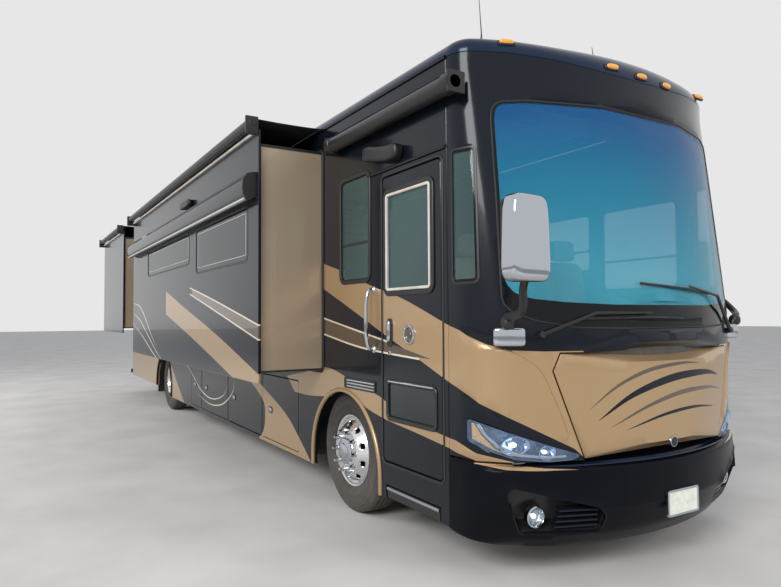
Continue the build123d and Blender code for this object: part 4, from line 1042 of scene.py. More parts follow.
columns = level(cap_reach, 0, 80)[::-1]
verts, faces = [], []
for u, _ in columns:
    here, normal = CAP(u, 3.3)
    normal.z = 0
    normal.normalize()
    size = brow_round(u)
    base = brow_base(u) + 0.002
    start_z = SHOULDER - min(size, SHOULDER - base)
    verts += [Vector((here.x, here.y, base - 0.002)), Vector((here.x, here.y, base))]
    for k in range(RING_TURNS + 1):
        angle = math.pi / 2 * k / RING_TURNS
        spot = here - normal * size * (1 - math.cos(angle))
        spot.z = max(start_z + (SHOULDER - start_z) * math.sin(angle), base + 0.0005 * (k + 1))
        verts.append(spot)
height = RING_TURNS + 3
for i in range(len(columns) - 1):
    for k in range(1, height - 1):
        a = i * height + k
        faces.append((a, a + height, a + height + 1, a + 1))
across = 14
half_count = len(columns) // 2
top_rows = []
for i in range(half_count + 1):
    left_id = i * height + height - 1
    right_id = (len(columns) - 1 - i) * height + height - 1
    if left_id == right_id:
        top_rows.append([left_id] * (across + 1))
        continue
    a, b = verts[left_id], verts[right_id]
    row = [left_id]
    for j in range(1, across):
        spot = a.lerp(b, j / across)
        spot.z = SHOULDER + crown_at(spot.x, spot.y)
        row.append(len(verts))
        verts.append(spot)
    top_rows.append(row + [right_id])
for upper, lower in zip(top_rows, top_rows[1:]):
    for j in range(across):
        quad = tuple(dict.fromkeys((upper[j], upper[j + 1], lower[j + 1], lower[j])))
        if len(quad) > 2:
            faces.append(quad)
shell = len(verts)
verts += [Vector((v.x * 0.975, (v.y - aft(CAP_SEAM)) * 0.96 + aft(CAP_SEAM), v.z - 0.028)) for v in verts]
faces += [tuple(k + shell for k in face[::-1]) for face in faces]
border = [i * height + 1 for i in range(len(columns))]
border += [(len(columns) - 1) * height + k for k in range(2, height)]
border += top_rows[0][1:-1][::-1]
border += range(height - 1, 1, -1)
for a, b in zip(border, border[1:] + border[:1]):
    faces.append((a, b, b + shell, a + shell))
used = sorted({k for face in faces for k in face})
order = {k: n for n, k in enumerate(used)}
brow = mesh_object("brow", [verts[k] for k in used], [tuple(order[k] for k in face) for face in faces],
                   [NAVY], "coach", smooth_angle=45.0)
welded(brow)
brow_tree = BVHTree.FromPolygons([v.co for v in brow.data.vertices], [p.vertices for p in brow.data.polygons])


def on_brow(x, z):
    """Where the camera's line through a spot on the upright nose meets the brow."""
    u, _ = CAP.front(x, 3.25)
    spot = CAP.point(u, z)
    return brow_tree.ray_cast(EYE, (spot - EYE).normalized())


AMBER = toned("amber_lens", (0.85, 0.32, 0.03), 0.12, (260.0, 2.0), (0.62, 0.19, 0.01), (0.9, 0.42, 0.06),
              coat=0.6, emission=0.15)
RED = toned("red_lens", (0.42, 0.012, 0.01), 0.14, (220.0, 2.0), (0.28, 0.006, 0.006), (0.52, 0.02, 0.014),
            coat=0.6)
BRIGHT = toned("lamp_bulb", (1.0, 0.97, 0.9), 0.2, (40.0, 1.0), (0.92, 0.9, 0.84), (1.0, 0.98, 0.93),
               emission=2.0)
lamp_bodies = []
for x, z in ((-1.005, 3.364), (-0.274, 3.279), (0.0, 3.259), (0.29, 3.256), (1.005, 3.364)):
    place, normal, _, _ = on_brow(x, z)
    if place is None:
        place = CAP.point(CAP.front(x, 3.25)[0], z)
        normal = Vector((0, -1, 0.5)).normalized()
    tilt = math.atan2(normal.z, -normal.y)
    swing = math.atan2(normal.x, -normal.y)
    lean = Matrix.Rotation(swing, 3, "Z") @ Matrix.Rotation(-tilt, 3, "X")
    for tag, half, mat, power, lift in (("base", (0.06, 0.01, 0.024), TRIM, 0.4, 0.002),
                                        ("lens", (0.05, 0.022, 0.018), AMBER, 0.7, 0.006)):
        lamp_bodies.append(pillow(f"marker_{tag}_{len(lamp_bodies)}", "coach", place + normal * lift, half,
                                  mat, (power, power), (10, 20), lambda v, m=lean: m @ v))
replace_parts(joined("marker_lamps", lamp_bodies), "small_lamps")

# Generic sweeps on the hood, in the paint's own colours
SWEEPS = [
    ([(-0.6, 0.98), (-0.34, 1.13), (0.02, 1.22), (0.42, 1.235), (0.66, 1.2)], 0.05, BLACK_ZONE),
    ([(-0.52, 0.93), (-0.22, 1.05), (0.12, 1.12), (0.5, 1.125), (0.72, 1.09)], 0.03, BRONZE_ZONE),
    ([(-0.66, 1.05), (-0.46, 1.19), (-0.2, 1.28), (0.12, 1.31), (0.34, 1.3)], 0.026, BRONZE_ZONE),
    ([(-0.4, 0.91), (-0.08, 0.985), (0.26, 1.01), (0.58, 0.985)], 0.022, BLACK_ZONE),
]
hood_zones = [([CAP.front(x, z) for x, z in stripe(line, width, True)], kind) for line, width, kind in SWEEPS]
plate("hood_skin", "hood", CAP, grown(HOOD_OUTLINE, -0.009), 0.014, hood_zones, step=(0.06, 0.06),
      bevel=0.003, base_kind=GOLD_ZONE, replaces=("hood",), slot="gold_paint")

WINDSHIELD = shader("windshield_glass", (0.02, 0.25, 0.4), 0.02, ior=1.45, alpha=0.5)


def sky_reflection_tint(mat, low, middle, high):
    """Glass coloured with a painted sky reflection: darker blue above, paler towards its foot, with soft
    uneven bands.
    """
    tree = mat.node_tree
    cloud = noise(mat, 0.8, 1.0)
    shift = wired(tree, "ShaderNodeMath", {1: 0.25},
                  {0: cloud.outputs["Fac"], 2: placed(mat, "ShaderNodeSeparateXYZ").outputs["Z"]},
                  operation="MULTIPLY_ADD")
    span = wired(tree, "ShaderNodeMapRange", {"From Min": 1.97, "From Max": 3.02},
                 {"Value": shift.outputs["Value"]})
    ramp = vary(mat, cloud, low, high, low=0.0, high=1.0)
    ramp.color_ramp.elements.new(0.5).color = (*middle, 1.0)
    tree.links.new(span.outputs["Result"], ramp.inputs["Fac"])


# The windshield's colours are a painted reflection of the sky.
sky_reflection_tint(WINDSHIELD, (0.06, 0.38, 0.5), (0.018, 0.25, 0.4), (0.002, 0.11, 0.31))
FRIT = toned("glass_border", (0.006, 0.007, 0.008), 0.06, (500.0, 1.0), (0.005, 0.006, 0.007),
             (0.009, 0.01, 0.011), ior=1.28)
TINT = toned("tinted_glass", (0.012, 0.018, 0.02), 0.03, (0.9, 1.0), (0.01, 0.015, 0.017),
             (0.016, 0.024, 0.026), ior=1.55, alpha=0.9)
CLEAR = toned("cab_glass", (0.07, 0.13, 0.13), 0.03, (0.9, 1.0), (0.06, 0.115, 0.115),
              (0.08, 0.145, 0.145), ior=1.5, alpha=0.42)
CLEAR_HALF = [(0.0, 1.692), (0.45, 1.692), (0.8, 1.708), (0.99, 1.73), (1.08, 1.762), (1.126, 1.83),
              (1.125, 1.9), (1.113, 2.3), (1.104, 2.85), (1.096, 2.925), (1.062, 2.962), (0.9, 2.973),
              (0.4, 2.975), (0.0, 2.975)]
clear = softened(both_ways(CLEAR_HALF[1:-1]), 0.03, 3)
plate("windshield_glass", "coach", CAP, GLASS_OUTLINE, 0.008, [(clear, 1)], step=(0.09, 0.09), bevel=0.002,
      mats=[FRIT, WINDSHIELD], replaces=("windshield",), slot="screen_glass")
tube("windshield_seal", "coach", [raised(CAP, -0.001)(u, z)[0] for u, z in GLASS_OUTLINE[::2]], 0.007, RUBBER,
     8, True)
# The blue of the lamp lens, reflector and bowl is a painted highlight, standing in for a blue-white sheen in
# the lamps.
LENS = toned("lamp_lens", (0.3, 0.42, 0.58), 0.02, (30.0, 1.0), (0.26, 0.38, 0.54), (0.34, 0.46, 0.62),
             ior=1.4, alpha=0.12)
REFLECTOR = toned("lamp_reflector", (0.42, 0.55, 0.78), 0.14, (40.0, 2.0), 0.08, 0.2, "Roughness", metal=1.0)
BOWL = toned("lamp_bowl", (0.14, 0.21, 0.32), 0.3, (60.0, 2.0), (0.11, 0.17, 0.27), (0.17, 0.25, 0.38),
             metal=0.8)
REFLEX = toned("amber_reflector", (0.6, 0.36, 0.13), 0.3, (90.0, 2.0), (0.48, 0.28, 0.09),
               (0.68, 0.42, 0.17))
SHELL = toned("lamp_housing", (0.035, 0.037, 0.04), 0.22, (160.0, 2.0), (0.028, 0.03, 0.033),
              (0.045, 0.047, 0.05), metal=0.4)


def aimed(name, profile, mat, spot, swing, wide=1.0, segments=28):
    """Turned lamp part whose level axis is swung round and set at a spot, stretched sideways by wide."""
    made = lathe(name, "coach", profile, (0, 0, 0), [mat], segments, "Y")
    for v in made.data.vertices:
        v.co = Matrix.Rotation(swing, 3, "Z") @ Vector((v.co.x * wide, v.co.y, v.co.z)) + spot
    return made


for side, tag in SIDES:
    quarter = outward(softened(cheek(side, QUARTER), 0.04))
    glass = plate(f"quarter_glass_{tag}", "coach", CAP, grown(quarter, -0.006), 0.006,
                  [(grown(quarter, -0.022), 1)], bevel=0.002, step=(0.1, 0.12), mats=[FRIT, CLEAR])
    if side == DOOR:
        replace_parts(glass, "side_windows")
    plate(f"quarter_frame_{tag}", "coach", raised(CAP, 0.006), grown(quarter, 0.014), 0.012, (),
          [grown(quarter, -0.006)], bevel=0.003, mats=[TRIM])

    outline = softened(outward(nose(side, LAMP)), 0.024, 3)
    bucket(f"headlamp_housing_{tag}", "coach", CAP, grown(outline, -0.004), 0.075, BOWL)
    lens = plate(f"headlamp_lens_{tag}", "coach", CAP, grown(outline, -0.002), 0.004, bevel=0.0015,
                 step=(0.03, 0.03), mats=[LENS])
    if side == DOOR:
        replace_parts(lens, "headlamps")
    bowls = []
    for x, z, size, wide in ((1.085, 0.842, 0.054, 1.75), (0.905, 0.797, 0.043, 1.35)):
        spot, normal = CAP(*CAP.front(side * x, z))
        facing = Vector((normal.x * 0.35, normal.y, 0)).normalized()
        swing = math.atan2(facing.x, -facing.y)
        for part, profile, mat in (("bowl", [(size, -0.012), (size * 1.08, -0.01), (size * 1.08, 0.0),
                                             (size * 0.9, 0.045), (0.016, 0.062), (0.016, 0.054),
                                             (size * 0.84, 0.036), (size, -0.012)], REFLECTOR),
                                   ("bulb", [(0.0, 0.006), (size * 0.24, 0.012), (size * 0.3, 0.022),
                                             (size * 0.22, 0.04), (0.0, 0.044)], BRIGHT)):
            bowls.append(aimed(f"headlamp_{part}_{tag}_{len(bowls)}", profile, mat, spot - facing * 0.028,
                               swing, wide))
    joined(f"headlamp_bowls_{tag}", bowls)
    strip = nose(side, [(0.8, 0.766), (0.93, 0.762), (1.08, 0.78), (1.185, 0.832), (1.236, 0.905),
                        (1.258, 0.968), (1.246, 0.97), (1.224, 0.908), (1.172, 0.846), (1.07, 0.796),
                        (0.93, 0.778), (0.8, 0.782)])
    plate(f"headlamp_strip_{tag}", "coach", raised(CAP, -0.012), outward(strip), 0.006, bevel=0.001,
          mats=[CHROME], step=(0.03, 0.0))
    corner = nose(side, [(1.11, 0.778), (1.196, 0.818), (1.266, 0.874), (1.268, 0.972), (1.262, 0.97),
                         (1.24, 0.9), (1.19, 0.826)])
    plate(f"headlamp_amber_{tag}", "coach", raised(CAP, -0.01), outward(corner), 0.01, bevel=0.001,
          mats=[REFLEX], step=(0.02, 0.0))

# Bumper with its air scoops, louvres and fog lamps
SCOOP = [(0.575, 0.3), (0.56, 0.405), (0.64, 0.47), (0.9, 0.54), (1.125, 0.604), (1.16, 0.56),
         (1.12, 0.44), (1.06, 0.318)]
bumper_reach = abs(BUMPER.side(CAP_SEAM - 0.003, 0.5, DRIVER)[0])


def chin(u):
    """Height of the bumper's lower edge, which rises from the nose to the sides."""
    y = BUMPER.point(u, 0.3).y
    f = min(max((y - aft(-2.02)) / (aft(CAP_SEAM) - aft(-2.02)), 0.0), 1.0)
    return 0.2 + 0.086 * f ** 0.8


bumper_outline = [(u, chin(u)) for u, _ in level(bumper_reach, 0)]
bumper_outline += [(bumper_reach, 0.736), (-bumper_reach, 0.736)]
scoops, bumper_zones = [], []
for side in (DOOR, DRIVER):
    scoops.append(outward(softened([BUMPER.front(side * x, z) for x, z in SCOOP], 0.025, 3)))
    thin = [BUMPER.front(side * x, z) for x, z in ((1.262, 0.7355), (1.15, 0.7355), (1.04, 0.726),
                                                   (0.947, 0.714), (0.742, 0.699), (0.947, 0.7),
                                                   (1.04, 0.702), (1.15, 0.708), (1.262, 0.73))]
    bumper_zones.append((thin, GOLD_ZONE))
level_folds = [level(bumper_reach, z) for z in (0.32, 0.46, 0.69)]


def jaw(u, z):
    """Scoop brows stand a little proud, and the chin rolls out into a lip."""
    lift = 0.0
    for scoop in scoops:
        us = [p[0] for p in scoop]
        if min(us) - 0.1 < u < max(us) + 0.1:
            gap = min((Vector(p) - Vector((u, z))).length for p in scoop)
            lift = max(lift, 0.014 * max(0.0, 1 - gap / 0.07) ** 2 if z > 0.45 else 0.0)
    return lift + 0.01 * max(0.0, 1 - abs(z - 0.285) / 0.035)


plate("bumper_skin", "coach", BUMPER, bumper_outline, 0.022, bumper_zones, scoops, step=(0.032, 0.032),
      bevel=0.004, mats=[BUMPER_BLACK] + BODY_PAINTS[1:], relief=jaw, replaces=("front_bumper",),
      folds=level_folds)
# Ledge that closes the bumper's top against the cap, gold where the stripe runs over it
LEDGE = [(0.012, 0.0), (0.06, 0.006), (0.078, 0.026), (0.086, 0.026), (0.072, -0.004), (0.012, -0.01)]
verts, faces, kinds = [], [], []
runs = 96
for u, z in level(bumper_reach - 0.004, 0.729, runs):
    point, normal = BUMPER(u, z)
    for deep, lift in LEDGE:
        verts.append(point - normal * deep + Vector((0, 0, lift)))
for k in range(runs):
    for j in range(6):
        a, c = 6 * k + j, 6 * k + (j + 1) % 6
        faces.append((a, c, c + 6, a + 6))
        kinds.append(GOLD_ZONE if abs(verts[a].x) > 1.03 else NAVY_ZONE)
faces += [(5, 4, 3, 2, 1, 0), tuple(6 * runs + j for j in range(6))]
kinds += [GOLD_ZONE, GOLD_ZONE]
welded(mesh_object("bumper_ledge", verts, faces, BODY_PAINTS, "coach", kinds))
for (side, tag), scoop in zip(SIDES, scoops):
    bucket(f"scoop_{tag}", "coach", BUMPER, grown(scoop, 0.001), 0.11, TRIM)
    slats = []
    for row in range(4):
        z = 0.325 + 0.036 * row
        inner_x = 0.585 + 0.012 * row
        line = [(inner_x, z), (0.865, z + 0.004), (0.865, z + 0.016), (inner_x, z + 0.012)]
        line = outward([BUMPER.front(side * x, zz) for x, zz in line])
        slats.append(plate(f"scoop_slat_{tag}_{row}", "coach", raised(BUMPER, -0.02), line, 0.05,
                           bevel=0.003, step=(0.06, 0.0), mats=[BLACK]))
    joined(f"scoop_slats_{tag}", slats)
    spot, normal = BUMPER(*BUMPER.front(side * 0.981, 0.4))
    swing = math.atan2(normal.x * 0.3, -normal.y)
    fog = []
    for part, profile, mat in (
        ("ring", [(0.05, 0.002), (0.056, -0.006), (0.064, -0.002), (0.066, 0.03), (0.05, 0.03),
                  (0.05, 0.002)], CHROME),
        ("bowl", [(0.05, 0.004), (0.04, 0.03), (0.014, 0.046), (0.0, 0.046), (0.0, 0.05), (0.018, 0.05),
                  (0.05, 0.034), (0.053, 0.004), (0.05, 0.004)], CHROME),
        ("lens", [(0.0, -0.003), (0.03, -0.001), (0.049, 0.006), (0.049, 0.009), (0.03, 0.003),
                  (0.0, 0.001)], LENS),
        ("bulb", [(0.0, 0.012), (0.013, 0.018), (0.015, 0.03), (0.0, 0.044)], BRIGHT),
    ):
        fog.append(aimed(f"fog_{part}_{tag}", profile, mat, spot - normal * 0.04, swing, segments=32))
    joined(f"fog_lamp_{tag}", fog)
PLATE = toned("number_plate", (0.74, 0.76, 0.66), 0.45, (25.0, 3.0), (0.66, 0.68, 0.58), (0.78, 0.8, 0.7))
bumper_y = BUMPER.point(0.04, 0.46).y
blank = rounded(-0.11, 0.195, 0.35, 0.505, 0.012)
plate("number_plate", "coach", upright(bumper_y - 0.012), blank, 0.003, bevel=0.001, mats=[PLATE])
plate("number_plate_frame", "coach", upright(bumper_y - 0.016), grown(blank, 0.006), 0.016, (),
      [grown(blank, -0.008)], bevel=0.002, mats=[CHROME])
lathe("nose_badge", "hood", [(0.0, -0.013), (0.024, -0.012), (0.028, -0.009), (0.03, -0.013),
                             (0.034, -0.012), (0.036, -0.006), (0.036, 0.002), (0.0, 0.002)],
      CAP.point(*CAP.front(0.01, 0.806)), [CHROME, TRIM], 40, "Y", bands=[1, 1, 1, 0, 0, 0, 0])


# Slide rooms, doors and windows on the sides

END_TAN = paint("paint_end_wall", (0.42, 0.325, 0.225), (0.52, 0.405, 0.285), 0.35, 0.32)
SLIDE_MATS = BODY_PAINTS + [END_TAN]
END_ZONE = len(BODY_PAINTS)


def slide_zones(side):
    """Zones of a slide room's face, as (outline, paint)."""
    zones = [(SWEEP, GOLD_ZONE), (SLIDE_BRONZE, BRONZE_ZONE)] + [(pin, CREAM_ZONE) for pin in SLIDE_PINS]
    zones += [(stripe(line, 0.02, True), CREAM_ZONE) for line in SWIRLS]
    return [(on_side(side, outline), kind) for outline, kind in zones]


def glazing(name, body, side, x, opening, frame_width, proud, replaces=(), radius=0.06, tint=None):
    """Tinted pane with its black border, and a moulded frame round it where it has one."""
    front, rear, low, high = opening
    pane = side_box(side, front + 0.004, rear - 0.004, low + 0.004, high - 0.004, radius)
    glass = plate(name, body, flat_side(side, x - 0.004), pane, 0.008, [(grown(pane, -0.018), 1)],
                  bevel=0.002, mats=[FRIT, tint or TINT], replaces=replaces)
    if frame_width:
        plate(name + "_frame", body, flat_side(side, x + proud), grown(pane, frame_width), 0.014 + proud, (),
              [grown(pane, -0.01)], bevel=0.004, mats=[TRIM])
    return glass


for name, side, front, rear, floor_z, windows in SLIDES:
    face = side_box(side, front, rear, floor_z - 0.085, 3.23, 0.018)
    holes = [side_box(side, *window, 0.06) for window in windows]
    zones = slide_zones(side) if windows else []
    zones = clipped(zones, min(front * side, rear * side), max(front * side, rear * side), 0, 4)
    plate(f"{name}_face", name, flat_side(side, SLIDE_X), face, 0.018, zones, holes, bevel=0.005,
          replaces=(name,))
    # Box behind the face, open towards the cabin
    box_verts, box_faces, box_kinds = [], [], []
    for inset in (0.0, 0.038):
        for x in (SLIDE_X - 0.019 - inset, 1.226):
            for y in (aft(front + 0.05) + inset, aft(rear - 0.05) - inset):
                for z in (floor_z + inset, 3.12 - inset):
                    box_verts.append(Vector((side * x, y, z)))
    for base in (0, 8):
        for corners, kind in (((0, 1, 3, 2), NAVY_ZONE), ((0, 2, 6, 4), NAVY_ZONE), ((1, 5, 7, 3), NAVY_ZONE),
                              ((0, 4, 5, 1), END_ZONE), ((2, 3, 7, 6), END_ZONE)):
            box_faces.append(tuple(base + k for k in corners))
            box_kinds.append(kind)
    for p, q in ((4, 5), (5, 7), (7, 6), (6, 4)):
        box_faces.append((p, q, q + 8, p + 8))
        box_kinds.append(BLACK_ZONE)
    welded(mesh_object(f"{name}_box", box_verts, box_faces, SLIDE_MATS, name, box_kinds))
    # Extruded corner trims of the end wall, and the bulb seal round the wall's opening
    for tag, station, away in (("front", front + 0.05, -0.01), ("rear", rear - 0.05, 0.01)):
        low_y, high_y = sorted((aft(station), aft(station) + away))
        strips = []
        for x0, x1, low_z, high_z in ((1.858, 1.877, floor_z + 0.002, 3.118), (1.858, 1.25, 3.098, 3.118),
                                      (1.858, 1.25, floor_z + 0.002, floor_z + 0.018)):
            low_x, high_x = sorted((side * x0, side * x1))
            strips.append(((low_x, low_y, low_z), (high_x, high_y, high_z)))
        boxes(f"{name}_{tag}_trim", name, strips, TRIM, 0.003)
    seal_line = [(front + 0.036, floor_z - 0.004), (rear - 0.036, floor_z - 0.004), (rear - 0.036, 3.126),
                 (front + 0.036, 3.126)]
    drop = grown(softened(on_side(side, seal_line), 0.05, 4), 0.022)
    plate(f"{name}_seal", "coach", flat_side(side, HALF + 0.012), drop, 0.014, (), [grown(drop, -0.03)],
          bevel=0.004, mats=[RUBBER])
    for index, window in enumerate(windows):
        glass = glazing(f"{name}_window_{index}", name, side, SLIDE_X, window, 0.01, 0.003)
        if index == 0:
            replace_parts(glass, f"{name}_glass")
        inner_line = grown(side_box(side, *window, 0.075), -0.06)
        plate(f"{name}_window_bead_{index}", name, flat_side(side, SLIDE_X - 0.0025), inner_line, 0.004, (),
              [grown(inner_line, -0.006)], bevel=0.001, mats=[ALLOY])
    # Topper awning: brackets, roller and the fabric from the roller to the wall
    ribs = [(0.0, front - 0.004), (0.03, front - 0.004), (0.046, front + 0.012), (0.046, rear - 0.012),
            (0.03, rear + 0.004), (0.0, rear + 0.004)]
    roller = lathe(f"{name}_roller", name, [(r, aft(s)) for r, s in ribs],
                   (side * (SLIDE_X + 0.052), 0, 3.28), [TRIM], 28, "Y")
    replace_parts(roller, f"{name}_awnings")
    low_x, high_x = sorted((side * SLIDE_X, side * (SLIDE_X + 0.112)))
    boxes(f"{name}_roller_brackets", name,
          [((low_x, aft(s), 3.175), (high_x, aft(s + 0.03), 3.335)) for s in (front, rear - 0.03)],
          TRIM, 0.012)
    shade = [(-0.002, 3.206), (0.018, 3.206), (0.022, 3.222), (0.016, 3.236), (-0.002, 3.236)]
    sweep(f"{name}_face_rail", name, off_side(side, SLIDE_X, shade), front + 0.02, rear - 0.02, [LIGHT_TRIM])
    if windows:
        case = [(0.0, 2.664), (0.04, 2.64), (0.085, 2.644), (0.108, 2.672), (0.118, 2.73), (0.112, 2.8),
                (0.08, 2.85), (0.02, 2.868), (0.0, 2.868)]
        sweep(f"{name}_awning_case", name, off_side(side, SLIDE_X, case), front + 0.085, rear - 0.085,
              [BLACK], angle=25.0)
        big = [(away + (0.003 if away > 0.01 else 0), z + (0.004 if z > 2.75 else -0.004))
               for away, z in case]
        for tag, s0, s1 in (("front", front + 0.06, front + 0.0845), ("rear", rear - 0.0845, rear - 0.06)):
            sweep(f"{name}_awning_end_{tag}", name, off_side(side, SLIDE_X, big), s0, s1, [TRIM])
        lip = [(0.084, 2.628), (0.1, 2.634), (0.096, 2.652), (0.082, 2.644)]
        sweep(f"{name}_awning_lip", name, off_side(side, SLIDE_X, lip), front + 0.09, rear - 0.09, [ALLOY])
        pillow(f"{name}_porch_light", name, (side * (SLIDE_X + 0.03), aft((front + rear) / 2 - 0.65), 2.955),
               (0.032, 0.21, 0.04), TRIM, (0.35, 0.35), (12, 24))

FABRIC = toned("topper_fabric", (0.03, 0.031, 0.034), 0.85, (5.0, 5.0), (0.022, 0.023, 0.026),
               (0.046, 0.047, 0.05))
weave = placed(FABRIC, "ShaderNodeTexWave", 340.0)
weave.bands_direction = "Y"
bump(FABRIC, weave, 0.25, 0.0008)
for name, side, front, rear, _, _ in SLIDES:
    x_in, x_out = HALF + 0.01, SLIDE_X + 0.05
    width, length = x_out - x_in, rear - front - 0.1
    across_n, along_n = 14, 40
    row = along_n + 1
    verts, faces = [], []
    for layer in (0.0, 0.0025):
        for i in range(across_n + 1):
            f = i / across_n
            hollow = 6.75 * f * (1.0 - f) ** 2
            for j in range(row):
                g = j / along_n
                dip = 0.022 * hollow * (0.45 + 0.55 * math.sin(math.pi * g))
                ripple = 0.003 * hollow * math.sin(2 * math.pi * (g * 7 + f * 0.8))
                z = 3.3335 - 0.004 * f - dip + ripple - layer
                verts.append(Vector((side * (x_in + width * f), aft(front + 0.05 + length * g), z)))
    middle = along_n // 2
    run = sum((verts[(i + 1) * row + middle] - verts[i * row + middle]).length for i in range(across_n))
    under = (across_n + 1) * row
    for i in range(across_n):
        for j in range(along_n):
            a, b = i * row + j, (i + 1) * row + j
            faces += [(a, a + 1, b + 1, b), (a + under, b + under, b + 1 + under, a + 1 + under)]
    edge_line = [*range(along_n), *(i * row + along_n for i in range(across_n)),
                 *(across_n * row + j for j in range(along_n, 0, -1)),
                 *(i * row for i in range(across_n, 0, -1))]
    for a, b in zip(edge_line, edge_line[1:] + edge_line[:1]):
        faces.append((a, b, b + under, a + under))
    cloth = welded(mesh_object(f"{name}_topper", verts, faces, [FABRIC], "coach"), 0.00001)
    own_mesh(cloth)

# Windows in the walls, each in its black frame
for index, (side, front, rear, low, high) in enumerate(WALL_WINDOWS):
    glazing(f"wall_window_{index}", "coach", side, HALF, (front, rear, low, high), 0.022, 0.01,
            tint=CLEAR if front < 0 else TINT)
    if low < 2.2:
        bar_z = low + (high - low) * 0.36
        bar = side_box(side, front + 0.03, rear - 0.03, bar_z - 0.01, bar_z + 0.01)
        plate(f"wall_window_bar_{index}", "coach", flat_side(side, HALF - 0.002), bar, 0.006, bevel=0.002,
              mats=[TRIM])

# Luggage bay doors with their pull latches
for name, side, front, rear in BAYS:
    panel(f"{name}_skin", name, side, HALF, side_box(side, front, rear, BAY_LOW, BAY_HIGH, 0.018), 0.036,
          replaces=(name,), bevel=0.005)
    station = rear - 0.235 if rear - front > 0.7 else rear - 0.22
    for tag, half, mat, power in (("cup", (0.004, 0.055, 0.034), TRIM, 0.5),
                                  ("pull", (0.009, 0.046, 0.026), CHROME, 0.7)):
        pillow(f"{name}_{tag}", name, (side * (HALF + 0.003), aft(station), 0.645), half, mat, (power, power),
               (10, 20))

# Entry door: skin, two windows, medallion and latch
door_outline = side_box(DOOR, DOOR_FRONT, DOOR_REAR, DOOR_LOW, DOOR_HIGH, 0.035)
UPPER = (-1.322, -0.709, 1.8, 2.555)
LOWER = (-1.346, -0.731, 0.88, 1.15)
panel("entry_door_skin", "entry_door", DOOR, HALF, door_outline, 0.042,
      [side_box(DOOR, *UPPER, 0.045), side_box(DOOR, *LOWER, 0.03)], replaces=("entry_door",), bevel=0.006)
glazing("entry_door_upper_glass", "entry_door", DOOR, HALF, UPPER, 0.026, 0.012, ("entry_door_glass",), 0.045,
        CLEAR)
bright = grown(side_box(DOOR, *UPPER, 0.045), -0.016)
plate("entry_door_upper_bead", "entry_door", flat_side(DOOR, HALF + 0.015), bright, 0.018, (),
      [grown(bright, -0.02)], bevel=0.004, mats=[LIGHT_TRIM], slot="polished_alloy")
glazing("entry_door_lower_glass", "entry_door", DOOR, HALF, LOWER, 0.022, 0.01, (), 0.03)
plate("entry_door_lower_bead", "entry_door", flat_side(DOOR, HALF + 0.013),
      side_box(DOOR, LOWER[0] + 0.02, LOWER[1] - 0.02, LOWER[3] - 0.004, LOWER[3] + 0.006), 0.008,
      bevel=0.001, mats=[CHROME])
plate("entry_door_surround", "coach", flat_side(DOOR, HALF + 0.004), grown(door_outline, 0.026), 0.006, (),
      [grown(door_outline, 0.009)], bevel=0.002, mats=[TRIM])
for part, mat, profile in (
    ("ring", CHROME, [(0.05, 0.0), (0.053, -0.009), (0.061, -0.013), (0.069, -0.01), (0.073, 0.0),
                      (0.073, 0.003), (0.05, 0.003), (0.05, 0.0)]),
    ("disc", BRONZE, [(0.0, -0.006), (0.02, -0.006), (0.024, -0.002), (0.04, -0.002), (0.0495, 0.0),
                      (0.0495, 0.003), (0.0, 0.003)]),
):
    lathe(f"entry_door_medallion_{part}", "entry_door", profile, (-HALF - 0.001, aft(-1.029), 1.498), [mat],
          48)
latch_y = aft(-0.765)
pillow("entry_door_latch_cup", "entry_door", (-HALF - 0.002, latch_y, 1.508), (0.006, 0.04, 0.105), TRIM,
       (0.5, 0.5), (14, 24))
pillow("entry_door_latch_paddle", "entry_door", (-HALF - 0.014, latch_y, 1.52), (0.012, 0.024, 0.078),
       CHROME, (0.6, 0.6), (14, 24))
lock = [(0.0, -0.008), (0.016, -0.007), (0.019, 0.0), (0.0, 0.002)]
lathe("entry_door_lock", "entry_door", lock, (-HALF - 0.002, latch_y, 1.36), [CHROME], 24)

# Grab handle, door awning, lamp, rails and vent beside the door, step trim and filler door
bow = off_side(DOOR, HALF, [(0.012, 1.375), (0.045, 1.392), (0.064, 1.48), (0.068, 1.605), (0.064, 1.73),
                            (0.045, 1.818), (0.012, 1.835)])
handle = tube("grab_bow", "coach", [(x, aft(-0.52), z) for x, z in curve_through(bow, 6)], 0.015, CHROME, 16)
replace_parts(handle, "grab_handle")
foot = [(0.0, -0.016), (0.017, -0.015), (0.027, -0.006), (0.03, 0.0), (0.0, 0.0)]
for z in (1.375, 1.835):
    lathe(f"grab_foot_{int(z * 1000)}", "coach", foot, (-HALF, aft(-0.52), z), [CHROME], 28)
awning = [(0.0, -1.69), (0.04, -1.69), (0.064, -1.68), (0.068, -1.655), (0.068, -1.6), (0.06, -1.594),
          (0.06, 0.004), (0.068, 0.01), (0.068, 0.08), (0.05, 0.1), (0.0, 0.1)]
roll = lathe("door_awning_roll", "coach", [(r, aft(s)) for r, s in awning], (-HALF - 0.075, 0, 3.08),
             [TRIM], 32, "Y")
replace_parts(roll, "door_awning")
rail = [(0.0, 3.115), (0.03, 3.135), (0.075, 3.152), (0.08, 3.16), (0.03, 3.152), (0.0, 3.15)]
sweep("door_awning_hood", "coach", off_side(DOOR, HALF, rail), -1.6, 0.04, [BLACK])
boxes("door_awning_brackets", "coach",
      [((-HALF - 0.13, aft(s0), 3.01), (-HALF + 0.002, aft(s1), 3.15))
       for s0, s1 in ((-1.69, -1.664), (0.062, 0.09))], TRIM, 0.01)
pillow("door_lamp_body", "coach", (-HALF - 0.045, aft(-0.735), 2.835), (0.05, 0.25, 0.058), TRIM,
       (0.4, 0.4), (14, 26),
       shape=lambda v: Vector((v.x, v.y, v.z + 0.1 * max(0.0, v.y) + 0.02 * math.sin(v.y * 9))))
